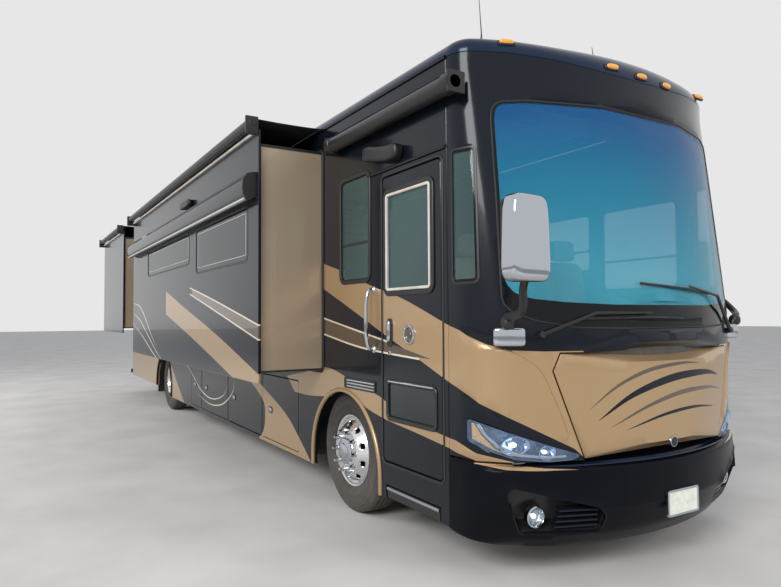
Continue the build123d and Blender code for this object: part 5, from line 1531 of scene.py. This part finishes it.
drip = [(-0.002, 2.728), (0.014, 2.72), (0.017, 2.73), (0.004, 2.742), (-0.002, 2.742)]
sweep("door_drip_rail", "coach", off_side(DOOR, HALF, drip), CAP_SEAM + 0.005, -0.44, [TRIM])
vent = side_box(DOOR, -0.55, -0.03, 1.04, 1.13, 0.01)
plate("heater_vent", "coach", flat_side(DOOR, HALF + 0.008), vent, 0.01, (),
      [side_box(DOOR, -0.53, -0.05, 1.052 + 0.024 * row, 1.064 + 0.024 * row, 0.005) for row in range(3)],
      bevel=0.002, mats=[TRIM])
plate("heater_vent_back", "coach", flat_side(DOOR, HALF + 0.001), grown(vent, -0.006), 0.003, bevel=0.001,
      mats=[CHROME])
boxes("step_trim", "entry_step", [((-HALF - 0.004, aft(-1.372), 0.352), (-HALF + 0.006, aft(-0.714), 0.372))],
      CHROME, 0.002)
fuel = side_box(DRIVER, 5.45, 5.75, 0.62, 0.9, 0.02)
plate("filler_door", "coach", flat_side(DRIVER, HALF + 0.003), fuel, 0.004, bevel=0.002)


# Tyres and wheels

TREAD = toned("tyre_rubber", (0.022, 0.022, 0.023), 0.74, (26.0, 5.0), (0.016, 0.016, 0.017),
              (0.04, 0.037, 0.034))
bump(TREAD, noise(TREAD, 240.0, 3.0), 0.25, 0.0008)
dusty(TREAD, top=1.0, most=0.3)
FRONT_WHEEL_X, OUTER_WHEEL_X, TWIN = 1.09, 1.052, 0.34
HALF_TYRE = 0.1375
STUD_CIRCLE = 0.1675


def tyre_profile():
    """Closed section of a tyre: bead, rounded wall with its ribs, shoulder and grooved tread."""
    wall = [(0.2875, 0.098), (0.298, 0.108), (0.318, 0.117), (0.322, 0.1215), (0.328, 0.1215), (0.332, 0.123),
            (0.362, 0.1325), (0.366, 0.1355), (0.371, 0.1358), (0.376, 0.1345), (0.4, HALF_TYRE - 0.0008),
            (0.425, 0.1355), (0.445, 0.1315), (0.448, 0.1335), (0.453, 0.133), (0.457, 0.128),
            (0.478, 0.119), (0.49, 0.111), (0.499, 0.102), (0.5035, 0.09)]
    tread = []
    for centre in (0.066, 0.022, -0.022, -0.066):
        tread += [(0.5048, centre + 0.0075), (0.492, centre + 0.0045), (0.492, centre - 0.0045),
                  (0.5048, centre - 0.0075)]
    return wall + tread + [(r, -x) for r, x in wall[::-1]]


def tyre_mesh(name, body, centres, station, replaced):
    """Tyres on one body, their outer ribs notched along the shoulders."""
    profile = tyre_profile()
    made = []
    for index, x in enumerate(centres):
        piece = lathe(f"{name}_{index}", body, profile + profile[:1], (x, station, HUB_Z), [TREAD], 120,
                      angle=28.0)
        hub = Vector((x, station, HUB_Z))
        for v in piece.data.vertices:
            arm = v.co - hub
            reach = math.hypot(arm.y, arm.z)
            if reach > 0.4985 and abs(arm.x) > 0.08:
                turn = math.atan2(arm.z, arm.y)
                if int(round(turn / (2 * math.pi) * 120)) % 2:
                    v.co = hub + Vector((arm.x, arm.y * 0.99, arm.z * 0.99))
        made.append(piece)
    tyre = joined(name, made) if len(made) > 1 else made[0]
    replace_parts(tyre, replaced)


def turned(name, body, profile, x, station, out, mat, segments=48):
    """Turned piece on a wheel axis, its profile measured outwards from x."""
    return lathe(name, body, [(r, offset * out) for r, offset in profile], (x, station, HUB_Z), [mat],
                 segments)


def barrel(name, body, x, station, out):
    """Rim barrel with its two flanges and drop centre, the disc side towards out."""
    line = [(0.292, -0.113), (0.2965, -0.108), (0.286, -0.103), (0.2855, -0.074), (0.266, -0.052),
            (0.266, 0.034), (0.2855, 0.066), (0.286, 0.103), (0.2965, 0.108), (0.295, 0.1125),
            (0.29, 0.1135), (0.282, 0.1105), (0.274, 0.102), (0.268, 0.09), (0.256, 0.086),
            (0.252, 0.07), (0.252, -0.052), (0.27, -0.076), (0.274, -0.1), (0.282, -0.111),
            (0.292, -0.113)]
    return turned(name, body, line, x, station, out, ALLOY, 96)


def ring(radius, turns):
    """Closed loop of points on a circle."""
    return [(radius * math.cos(2 * math.pi * k / turns), radius * math.sin(2 * math.pi * k / turns))
            for k in range(turns)]


def disc(name, body, x, station, out):
    """Wheel disc with ten hand holes, bulging towards out from the barrel to its flat centre."""
    def face(u, v):
        return Vector((x + out * 0.1695, station + u * out, HUB_Z + v)), Vector((out, 0, 0))

    def bowl(u, v):
        over = math.hypot(u, v) - 0.19
        if over <= 0:
            return 0.0
        return -0.076 * (over / 0.072) ** 1.15

    holes = []
    corners = ((-0.09, -0.02), (0.09, -0.02), (0.112, 0.016), (-0.112, 0.016))
    for k in range(10):
        angle = 2 * math.pi * (k + 0.5) / 10
        holes.append(softened([((0.227 + dr) * math.cos(angle + turn),
                                (0.227 + dr) * math.sin(angle + turn)) for turn, dr in corners], 0.017, 4))
    creases = [ring(r, 72) + ring(r, 72)[:1] for r in (0.19, 0.204)]
    return plate(name, body, face, ring(0.26, 96), 0.02, (), holes, step=(0.03, 0.03), bevel=0.003,
                 mats=[ALLOY], relief=bowl, folds=creases)


def studs(name, body, x, station, out):
    """Ten nut covers on the stud circle, each a flared cap, made as one piece."""
    profile = [(0.0, 0.046), (0.008, 0.0455), (0.0115, 0.043), (0.013, 0.037), (0.0142, 0.02),
               (0.0185, 0.009), (0.021, 0.001), (0.021, -0.001), (0.0, -0.001)]
    sides = 14
    verts, faces = [], []
    for k in range(10):
        angle = 2 * math.pi * k / 10
        cy, cz = STUD_CIRCLE * math.cos(angle), STUD_CIRCLE * math.sin(angle)
        base = len(verts)
        for s in range(sides):
            turn = 2 * math.pi * s / sides
            for r, offset in profile:
                verts.append(Vector((x + out * offset, station + cy + r * math.cos(turn),
                                     HUB_Z + cz + r * math.sin(turn))))
        rows = len(profile)
        for s in range(sides):
            for j in range(rows - 1):
                a = base + s * rows + j
                b = base + ((s + 1) % sides) * rows + j
                faces.append((a, b, b + 1, a + 1))
    return welded(mesh_object(name, verts, faces, [CHROME], body, smooth_angle=40.0))


FRONT_HUB = [(0.0, 0.214), (0.03, 0.213), (0.052, 0.209), (0.064, 0.202), (0.068, 0.192), (0.086, 0.19),
             (0.104, 0.186), (0.112, 0.179), (0.114, 0.168), (0.11, 0.06), (0.0, 0.06)]
REAR_HUB = [(0.0, 0.03), (0.05, 0.03), (0.08, 0.027), (0.089, 0.02), (0.09, -0.03), (0.108, -0.033),
            (0.114, -0.04), (0.118, -0.15), (0.112, -0.44), (0.06, -0.452), (0.06, -0.08),
            (0.0, -0.08)]
FRONT_DRUM = [(0.19, -0.11), (0.205, -0.11), (0.208, -0.1), (0.205, -0.09), (0.205, 0.056),
              (0.196, 0.064), (0.06, 0.064), (0.06, 0.05), (0.19, 0.05), (0.19, -0.11)]
REAR_DRUM = [(0.062, -0.452), (0.196, -0.452), (0.205, -0.444), (0.208, -0.43), (0.205, -0.416),
             (0.205, -0.285), (0.196, -0.277), (0.062, -0.277), (0.062, -0.452)]
AXLES = (("front", AXLE, FRONT_WHEEL_X, 1, 0.1695, FRONT_HUB, FRONT_DRUM),
         ("rear", REAR_AXLE, OUTER_WHEEL_X, 2, -0.1495, REAR_HUB, REAR_DRUM))
for end, side, tag, station, wheel_x, count, stand, hub, drum in (
        (axle[0], *sided, *axle[1:]) for axle in AXLES for sided in SIDES):
    name = f"{end}_{tag}"
    body = f"wheel_{name}"
    centres = [side * (wheel_x - TWIN * twin) for twin in range(count)]
    tyre_mesh(f"tyre_{name}_rubber", body, centres, station, f"tyre_{name}")
    # The twins meet disc to disc, so the outer one is turned round
    parts = []
    for twin, x in enumerate(centres):
        out = -side if count == 2 and twin == 0 else side
        parts.append(barrel(f"rim_{name}_barrel_{twin}", body, x, station, out))
        parts.append(disc(f"rim_{name}_disc_{twin}", body, x, station, out))
    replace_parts(joined(f"rim_{name}_wheel", parts), f"rim_{name}")
    studs(f"rim_{name}_nuts", body, centres[0] + side * stand, station, side)
    turned(f"rim_{name}_hub", body, hub, centres[0], station, side, CHROME)
    turned(f"rim_{name}_drum", body, drum, centres[0], station, side, CAST)

# Mudflaps behind the rear tyres
for side, tag in SIDES:
    flap = off_side(side, 0.0, [(0.52, 0.25), (1.245, 0.25), (1.245, 0.72), (0.52, 0.72)])
    flap = outward(softened(flap, 0.03, 3))
    rear_plane = (lambda x, z: (Vector((x, REAR_AXLE + ARCH_R + 0.075 + 0.02 * (0.72 - z), z)),
                                Vector((0, -1, 0.02))))
    plate(f"mudflap_{tag}", "coach", rear_plane, flap, 0.008, bevel=0.002, mats=[RUBBER])

# Mirrors, wipers and antennas

# (side, tag, centre of the head, turn about Z, elbow of the arm); the driver's head is folded back
MIRRORS = [
    (DOOR, "right", (-1.372, aft(-2.3), 2.035), 0.1, (-1.235, aft(-2.12), 1.65)),
    (DRIVER, "left", (1.412, aft(-1.47), 2.035), 1.466, (1.3, aft(-1.845), 1.65)),
]


def mirror_form(turn):
    """Shape of a mirror shell: full in front, flat behind, a little narrower at the top."""
    def form(v):
        return turn @ Vector((v.x * (0.94 - 0.07 * v.z / 0.232), v.y * (1.0 if v.y < 0 else 0.72), v.z))
    return form


def mirror_face(centre, turn, depth):
    """Plane at the back of a mirror head, seen from behind."""
    def face(x, z):
        return centre + turn @ Vector((-x, depth, z)), turn @ Vector((0, 1, 0))
    return face


for side, tag, place, angle, elbow in MIRRORS:
    centre, turn = Vector(place), Matrix.Rotation(angle, 3, "Z")
    head = pillow(f"mirror_head_{tag}", "coach", centre, (0.152, 0.066, 0.232), CHROME, (0.32, 0.32),
                  (26, 44), shape=mirror_form(turn))
    if side == DOOR:
        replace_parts(head, "mirrors")
    for part, low, high in (("main", -0.105, 0.195), ("wide", -0.2, -0.125)):
        pane = rounded(-0.12, 0.12, low, high, 0.02)
        plate(f"mirror_glass_{part}_{tag}", "coach", mirror_face(centre, turn, 0.05), pane, 0.004,
              bevel=0.001, mats=[CHROME])
        plate(f"mirror_bezel_{part}_{tag}", "coach", mirror_face(centre, turn, 0.053), grown(pane, 0.012),
              0.016, (), [grown(pane, -0.004)], bevel=0.003, mats=[TRIM])
    foot = Vector((side * 1.128, aft(-1.893), 1.5))
    route = [centre + Vector((0, 0, -0.215)), centre.lerp(Vector(elbow), 0.55) + Vector((0, 0, -0.05)),
             Vector(elbow), foot + Vector((side * 0.045, -0.03, 0.11)),
             foot + Vector((side * 0.012, -0.02, 0.04))]
    route = curve_through([tuple(p) for p in route], 8)
    tube(f"mirror_arm_{tag}", "coach", route, 0.022, TRIM, 14,
         radii=[0.021 + 0.007 * k / len(route) for k in range(len(route))])
    base_turn = Matrix.Rotation(side * 0.7, 3, "Z")
    pillow(f"mirror_base_{tag}", "coach", foot, (0.096, 0.055, 0.056), CHROME, (0.28, 0.28), (18, 30),
           shape=lambda v, m=base_turn: m @ v)
    pillow(f"mirror_knuckle_{tag}", "coach", foot + Vector((side * 0.04, -0.03, 0.085)),
           (0.04, 0.04, 0.042), TRIM, (0.8, 0.8), (14, 22))

# Wipers, both parked along the foot of the glass: pivot, arm and blade
WIPERS = [
    ("right", (-0.971, -1.99, 1.51), (-0.64, -2.118, 1.64), (-0.209, -2.19, 1.64),
     ((-0.72, -2.088, 1.606), (-0.209, -2.19, 1.612), (0.114, -2.196, 1.604))),
    ("left", (0.971, -1.99, 1.51), (0.621, -2.112, 1.762), (0.212, -2.172, 1.818),
     ((0.499, -2.128, 1.772), (0.212, -2.168, 1.8), (-0.263, -2.164, 1.828))),
]
wiper_parts = []
for tag, pivot, elbow, joint, blade in WIPERS:
    pts = [Vector((x, aft(s), z)) + Vector((0, -0.012, 0)) for x, s, z in (pivot, elbow, joint)]
    shaft = pts[0] + Vector((0, 0.06, -0.012))
    wiper_parts.append(tube(f"wiper_pivot_{tag}", "coach", [shaft, pts[0] + Vector((0, -0.014, 0.004))],
                            0.021, TRIM, 16))
    wiper_parts.append(tube(f"wiper_arm_{tag}", "coach", pts, 0.011, TRIM, 10, radii=[0.015, 0.011, 0.007]))
    run = [Vector((x, aft(s), z)) for x, s, z in blade]
    wiper_parts.append(tube(f"wiper_blade_{tag}", "coach", curve_through([tuple(p) for p in run], 6), 0.0085,
                            RUBBER, 8))
    wiper_parts.append(tube(f"wiper_bridge_{tag}", "coach",
                            [run[0].lerp(run[1], 0.55) + Vector((0, -0.012, 0)),
                             run[1] + Vector((0, -0.024, 0)),
                             run[1].lerp(run[2], 0.45) + Vector((0, -0.012, 0))], 0.006, TRIM, 8))
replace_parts(joined("wiper_set", wiper_parts), "wipers")
tube("antenna_tall", "coach", [(-1.04, aft(-1.56), 3.42), (-1.04, aft(-1.56), 3.5),
                               (-1.045, aft(-1.545), 3.745)], 0.003, TRIM, 8, radii=[0.011, 0.004, 0.002])
tube("antenna_short", "coach", [(-0.048, aft(-1.64), 3.44), (-0.048, aft(-1.636), 3.5),
                                (-0.048, aft(-1.62), 3.6)], 0.003, TRIM, 8, radii=[0.014, 0.004, 0.002])

# Tail: cap, lamps, engine door and bumper

TAIL_R = 0.14


def tail_skin(u, z):
    """Rounded tail: u is the arc length from its middle, + towards the entry door side."""
    s, sign = abs(u), (-1 if u >= 0 else 1)
    flat = HALF - TAIL_R
    if s <= flat:
        spot, normal = Vector((sign * s, aft(REAR_FACE), z)), Vector((0, 1, 0))
    elif s <= flat + TAIL_R * math.pi / 2:
        angle = (s - flat) / TAIL_R
        normal = Vector((sign * math.sin(angle), math.cos(angle), 0))
        spot = Vector((sign * flat, aft(REAR_FACE) - TAIL_R, z)) + normal * TAIL_R
    else:
        d = s - flat - TAIL_R * math.pi / 2
        spot, normal = Vector((sign * HALF, aft(REAR_FACE) - TAIL_R - d, z)), Vector((sign, 0, 0))
    # The top rolls forward into the roof
    if z > EAVE:
        angle = min((z - EAVE) / EAVE_ROUND, 1.0) * math.pi / 2
        spot = Vector((spot.x, spot.y, EAVE)) - normal * EAVE_ROUND * (1 - math.cos(angle))
        spot.z += EAVE_ROUND * math.sin(angle)
        normal = normal * math.cos(angle) + Vector((0, 0, math.sin(angle)))
    return spot, normal


tail_reach = HALF - TAIL_R + TAIL_R * math.pi / 2 + (REAR_FACE - TAIL_R - REAR_SEAM) - 0.003
tail_outline = [(-tail_reach, REAR_SKIRT_BOTTOM), (tail_reach, REAR_SKIRT_BOTTOM), (tail_reach, 3.428),
                (-tail_reach, 3.428)]
tail_zones = [([(-tail_reach - 0.1, 0.3), (tail_reach + 0.1, 0.3), (tail_reach + 0.1, 0.925), (0.6, 0.9),
                (-0.6, 0.9), (-tail_reach - 0.1, 0.925)], GOLD_ZONE)]
for sign in (1, -1):
    sweep_line = band([(sign * 1.48, 1.75), (sign * 0.9, 2.02), (sign * 0.3, 2.12)],
                      [(sign * 1.48, 1.55), (sign * 0.9, 1.9), (sign * 0.3, 2.1)])
    tail_zones.append((sweep_line, GOLD_ZONE))
    tail_zones.append((stripe([(sign * 1.48, 1.5), (sign * 0.95, 1.84), (sign * 0.4, 2.04)], 0.016, True),
                       CREAM_ZONE))
tail_hole = rounded(-0.72, 0.72, 0.52, 1.34, 0.02)
tail_lamps = [rounded(sign * 1.0, sign * 1.125, 0.96, 1.5, 0.03) for sign in (1, -1)]
plate("tail_skin", "coach", tail_skin, tail_outline, 0.02, tail_zones, [tail_hole] + tail_lamps,
      step=(0.05, 0.3), bevel=0.003, replaces=("rear_cap",),
      folds=[level(tail_reach, z) for z in (EAVE, 3.362, 3.39, 3.412)])
lid_points = [(x, roof_z(x)) for x, _ in level(ROOF_HALF, 0, 32)[::-1]]
under = [(x, z - 0.02) for x, z in lid_points]
sweep("tail_lid", "coach", lid_points + under[::-1], REAR_SEAM, REAR_FACE - 0.098, [NAVY])
gable = lid_points + [(-ROOF_HALF, SHOULDER - 0.01), (ROOF_HALF, SHOULDER - 0.01)]
sweep("tail_gable", "coach", gable, REAR_FACE - 0.098, REAR_FACE - 0.088, [NAVY])
for sign, lamp_outline in zip((1, -1), tail_lamps):
    tag = "right" if sign > 0 else "left"
    bucket(f"tail_lamp_housing_{tag}", "coach", tail_skin, grown(lamp_outline, -0.001), 0.03, SHELL)
    rows = []
    for index, (low, high, mat) in enumerate(((0.968, 1.13, RED), (1.138, 1.3, RED), (1.308, 1.4, LENS),
                                              (1.408, 1.492, AMBER))):
        lens = rounded(sign * 1.006, sign * 1.119, low, high, 0.012)
        rows.append(plate(f"tail_lamp_{tag}_{index}", "coach", raised(tail_skin, 0.008), lens, 0.024,
                          bevel=0.005, mats=[mat]))
    joined(f"tail_lamp_{tag}", rows)
slots_out = [rounded(-0.56, 0.56, 0.632 + 0.06 * row, 0.662 + 0.06 * row, 0.013) for row in range(8)]
tail_y = aft(REAR_FACE)
plate("engine_door_skin", "engine_door", upright(tail_y, 1), rounded(-0.714, 0.714, 0.528, 1.334, 0.02),
      0.022, [(tail_zones[0][0], GOLD_ZONE)], slots_out, bevel=0.004, replaces=("engine_door",))
slats = []
for row in range(8):
    verts = [Vector((x, tail_y - deep, 0.632 + 0.06 * row + lift)) for x in (-0.575, 0.575)
             for deep, lift in ((0.004, -0.01), (0.001, -0.006), (0.03, 0.044), (0.034, 0.04))]
    faces = [(0, 1, 2, 3), (7, 6, 5, 4), (0, 4, 5, 1), (1, 5, 6, 2), (2, 6, 7, 3), (3, 7, 4, 0)]
    slats.append(welded(mesh_object(f"engine_slat_{row}", verts, faces, [TRIM], "engine_door")))
joined("engine_door_slats", slats)
pillow("engine_door_latch", "engine_door", (0.0, tail_y + 0.004, 0.575), (0.06, 0.01, 0.02), CHROME,
       (0.6, 0.6), (12, 22))


def tail_bumper(u, z):
    spot, normal = tail_skin(u, z)
    return spot + normal * (0.05 - 0.02 * ((z - 0.467) / 0.05) ** 2), normal


for tag, u0, u1 in (("right", 0.075, 1.3), ("left", -1.3, -0.075)):
    plate(f"tail_bumper_{tag}", "coach", tail_bumper, rounded(u0, u1, 0.422, 0.512, 0.018), 0.045,
          step=(0.04, 0.03), bevel=0.006, replaces=("rear_bumper",) if tag == "right" else ())
for index, x in enumerate((-1.02, -0.28, 0.0, 0.28, 1.02)):
    pillow(f"tail_marker_{index}", "coach", (x, tail_y - 0.008, 3.35), (0.048, 0.022, 0.016), RED,
           (0.7, 0.7), (10, 18))

# Roof units and vents


def shroud(v):
    """Roof unit that narrows upwards and leans aft."""
    f = (v.z + 0.155) / 0.31
    return Vector((v.x * (1 - 0.16 * f), v.y * (1 - 0.12 * f) + 0.05 * f, v.z))


for index, station in enumerate((1.5, 6.9)):
    piece = pillow(f"roof_unit_{index}", "coach", (0, aft(station), 3.594), (0.35, 0.525, 0.155), SHROUD,
                   (0.28, 0.3), (22, 44), shape=shroud)
    if index == 0:
        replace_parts(piece, "roof_units")
    gaps = [rounded(-0.22, 0.22, 3.535 + 0.024 * row, 3.548 + 0.024 * row, 0.005) for row in range(5)]
    plate(f"roof_unit_grille_{index}", "coach", upright(aft(station) + 0.515, 1),
          rounded(-0.24, 0.24, 3.52, 3.66, 0.02), 0.012, (), gaps, bevel=0.002, mats=[TRIM])
for index, (x, station) in enumerate(((-0.35, 3.3), (0.3, 4.7), (0.0, 8.8))):
    top = roof_z(x)
    pillow(f"roof_vent_{index}", "coach", (x, aft(station), top + 0.04), (0.205, 0.205, 0.045), SHROUD,
           (0.35, 0.3), (14, 32))
    boxes(f"roof_vent_rim_{index}", "coach", [((x - 0.215, aft(station) - 0.215, top - 0.004),
                                               (x + 0.215, aft(station) + 0.215, top + 0.014))], LIGHT_TRIM,
          0.006)

# Cab: its materials and the two seats

LEATHER = toned("seat_leather", (0.4, 0.31, 0.22), 0.48, (7.0, 5.0), (0.34, 0.26, 0.18), (0.45, 0.355, 0.26))
bump(LEATHER, placed(LEATHER, "ShaderNodeTexVoronoi", 380.0), 0.3, 0.001, "Distance")
DASH = toned("dash_vinyl", (0.1, 0.085, 0.07), 0.6, (12.0, 4.0), (0.085, 0.072, 0.06),
             (0.125, 0.105, 0.088))
bump(DASH, noise(DASH, 700.0, 2.0), 0.3, 0.0006)
WOOD = shader("cabinet_wood", (0.2, 0.095, 0.045), 0.3, coat=0.5)
vary(WOOD, noise(WOOD, 3.0, 8.0, (1.0, 14.0, 14.0)), (0.105, 0.045, 0.02), (0.27, 0.14, 0.07), low=0.3,
     high=0.7)
BOARD = toned("floor_board", (0.26, 0.18, 0.11), 0.45, (2.0, 8.0, (10.0, 1.0, 10.0)), (0.17, 0.11, 0.065),
              (0.33, 0.24, 0.155))

DECK = 1.13
SEAT_Y = aft(-0.9)
PEDESTAL = [(0.0, 0.006), (0.15, 0.006), (0.155, 0.02), (0.1, 0.045), (0.09, 0.19), (0.15, 0.225),
            (0.15, 0.246), (0.0, 0.246)]


def crease(distance, depth, width):
    """Depth of a sewn line at a distance from it."""
    return depth * math.exp(-(distance / width) ** 2)


def cushion_shape(v):
    """Crowned seat with sewn side channels, a cross seam and raised sides."""
    if v.z <= 0:
        return Vector((v.x, v.y, v.z * 0.92))
    crown = 0.015 * (1 - (v.x / 0.26) ** 2) * (1 - (v.y / 0.26) ** 2)
    seam = crease(v.y - 0.02, 0.007, 0.012) if abs(v.x) < 0.15 else 0.0
    side_roll = 0.022 * max(0.0, abs(v.x) - 0.16) / 0.1
    return Vector((v.x, v.y, v.z * 0.92 + crown - crease(abs(v.x) - 0.15, 0.01, 0.01) - seam + side_roll))


def back_shape(v):
    """Leaning backrest that narrows upwards, its front crowned and sewn in channels."""
    crown = groove = rows = 0.0
    if v.y < 0:
        crown = 0.016 * (1 - (v.x / 0.25) ** 2)
        groove = crease(abs(v.x) - 0.15, 0.009, 0.01)
        if abs(v.x) < 0.15:
            rows = crease(abs(v.z - 0.1), 0.006, 0.01) + crease(v.z + 0.09, 0.006, 0.01)
    return Vector((v.x * (1 - 0.06 * max(0.0, v.z) / 0.29), v.y - crown + groove + rows + 0.05 * v.z, v.z))


for tag, seat_x in (("driver", 0.6), ("passenger", -0.42)):
    softs = [pillow(f"seat_{part}_{tag}", "coach", (seat_x, SEAT_Y + back, DECK + up), half, LEATHER, power,
                    turns, shape=shape)
             for part, back, up, half, power, turns, shape in (
                ("cushion", 0.0, 0.32, (0.258, 0.258, 0.078), (0.42, 0.4), (44, 88), cushion_shape),
                ("back", 0.222, 0.688, (0.246, 0.056, 0.286), (0.4, 0.42), (44, 88), back_shape),
                ("headrest", 0.236, 1.08, (0.142, 0.042, 0.092), (0.45, 0.45), (24, 44), None))]
    if tag == "driver":
        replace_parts(softs[0], "cab_seats")
    lathe(f"seat_pedestal_{tag}", "coach", [(r, DECK + up) for r, up in PEDESTAL], (seat_x, SEAT_Y, 0),
          [TRIM], 40, "Z")
    for end, way in (("in", -1), ("out", 1)):
        pillow(f"seat_arm_{tag}_{end}", "coach", (seat_x + way * 0.272, SEAT_Y + 0.04, DECK + 0.56),
               (0.03, 0.19, 0.028), LEATHER, (0.5, 0.5), (14, 28))


# Studio

WORLD = bpy.data.worlds.new("studio")
bpy.context.scene.world = WORLD
WORLD.use_nodes = True
tree = WORLD.node_tree
back = tree.nodes["Background"]
back.inputs["Color"].default_value = (0.88, 0.92, 1.0, 1.0)
back.inputs["Strength"].default_value = 0.62
white = wired(tree, "ShaderNodeBackground", {"Strength": 1.0})
path = tree.nodes.new("ShaderNodeLightPath")
seen = path.outputs["Is Camera Ray"]
for ray in ("Is Transmission Ray", "Is Glossy Ray"):
    seen = wired(tree, "ShaderNodeMath", sources={0: seen, 1: path.outputs[ray]},
                 operation="MAXIMUM").outputs["Value"]
mix = wired(tree, "ShaderNodeMixShader", sources={"Fac": seen, 1: back.outputs["Background"],
                                                  2: white.outputs["Background"]})
tree.links.new(mix.outputs["Shader"], tree.nodes["World Output"].inputs["Surface"])


def lamp(name, place, target, size, power, glossy=True):
    data = bpy.data.lights.new(name, "AREA")
    data.shape = "RECTANGLE"
    data.size, data.size_y = size
    data.energy = power
    item = bpy.data.objects.new(name, data)
    item.location = place
    item.rotation_euler = (Vector(target) - Vector(place)).to_track_quat("-Z", "Y").to_euler()
    item.visible_glossy = glossy
    bpy.context.scene.collection.objects.link(item)


lamp("key", (-13.0, -12.0, 9.0), (0.0, -3.0, 1.5), (7.0, 5.0), 1500.0)
lamp("fill", (-12.0, 6.0, 6.0), (-1.0, 1.0, 1.5), (9.0, 4.0), 900.0, False)
lamp("front_fill", (6.0, -16.0, 6.0), (0.0, -5.0, 1.5), (7.0, 5.0), 700.0, False)

FLOOR = toned("studio_floor", (0.6, 0.58, 0.55), 0.9, (1.2, 6.0), (0.56, 0.54, 0.51), (0.64, 0.62, 0.59))
ground = bpy.data.meshes.new("floor")
ground.from_pydata([(-90, -90, 0), (90, -90, 0), (90, 90, 0), (-90, 90, 0)], [], [(0, 1, 2, 3)])
ground.materials.append(FLOOR)
floor = bpy.data.objects.new("floor", ground)
bpy.context.scene.collection.objects.link(floor)

CAD_LOOKS = {
    "chassis_frame": STEEL, "frame_cross_members": STEEL, "tow_receiver": STEEL, "axles": CAST,
    "engine_block": CAST, "knuckle_left": CAST, "knuckle_right": CAST, "tie_rod": STEEL, "entry_step": TRIM,
    "floor_deck": BOARD, "entry_step_well": BOARD, "basement_tray": STEEL, "dashboard": DASH,
    "cabin_fittings": WOOD,
}
for node, obj in frame["nodes"].items():
    if obj.hide_render:
        continue
    look = CAD_LOOKS.get(node, TRIM)
    for entry in obj.material_slots:
        entry.material = look
    if not obj.material_slots:
        obj.data.materials.append(look)
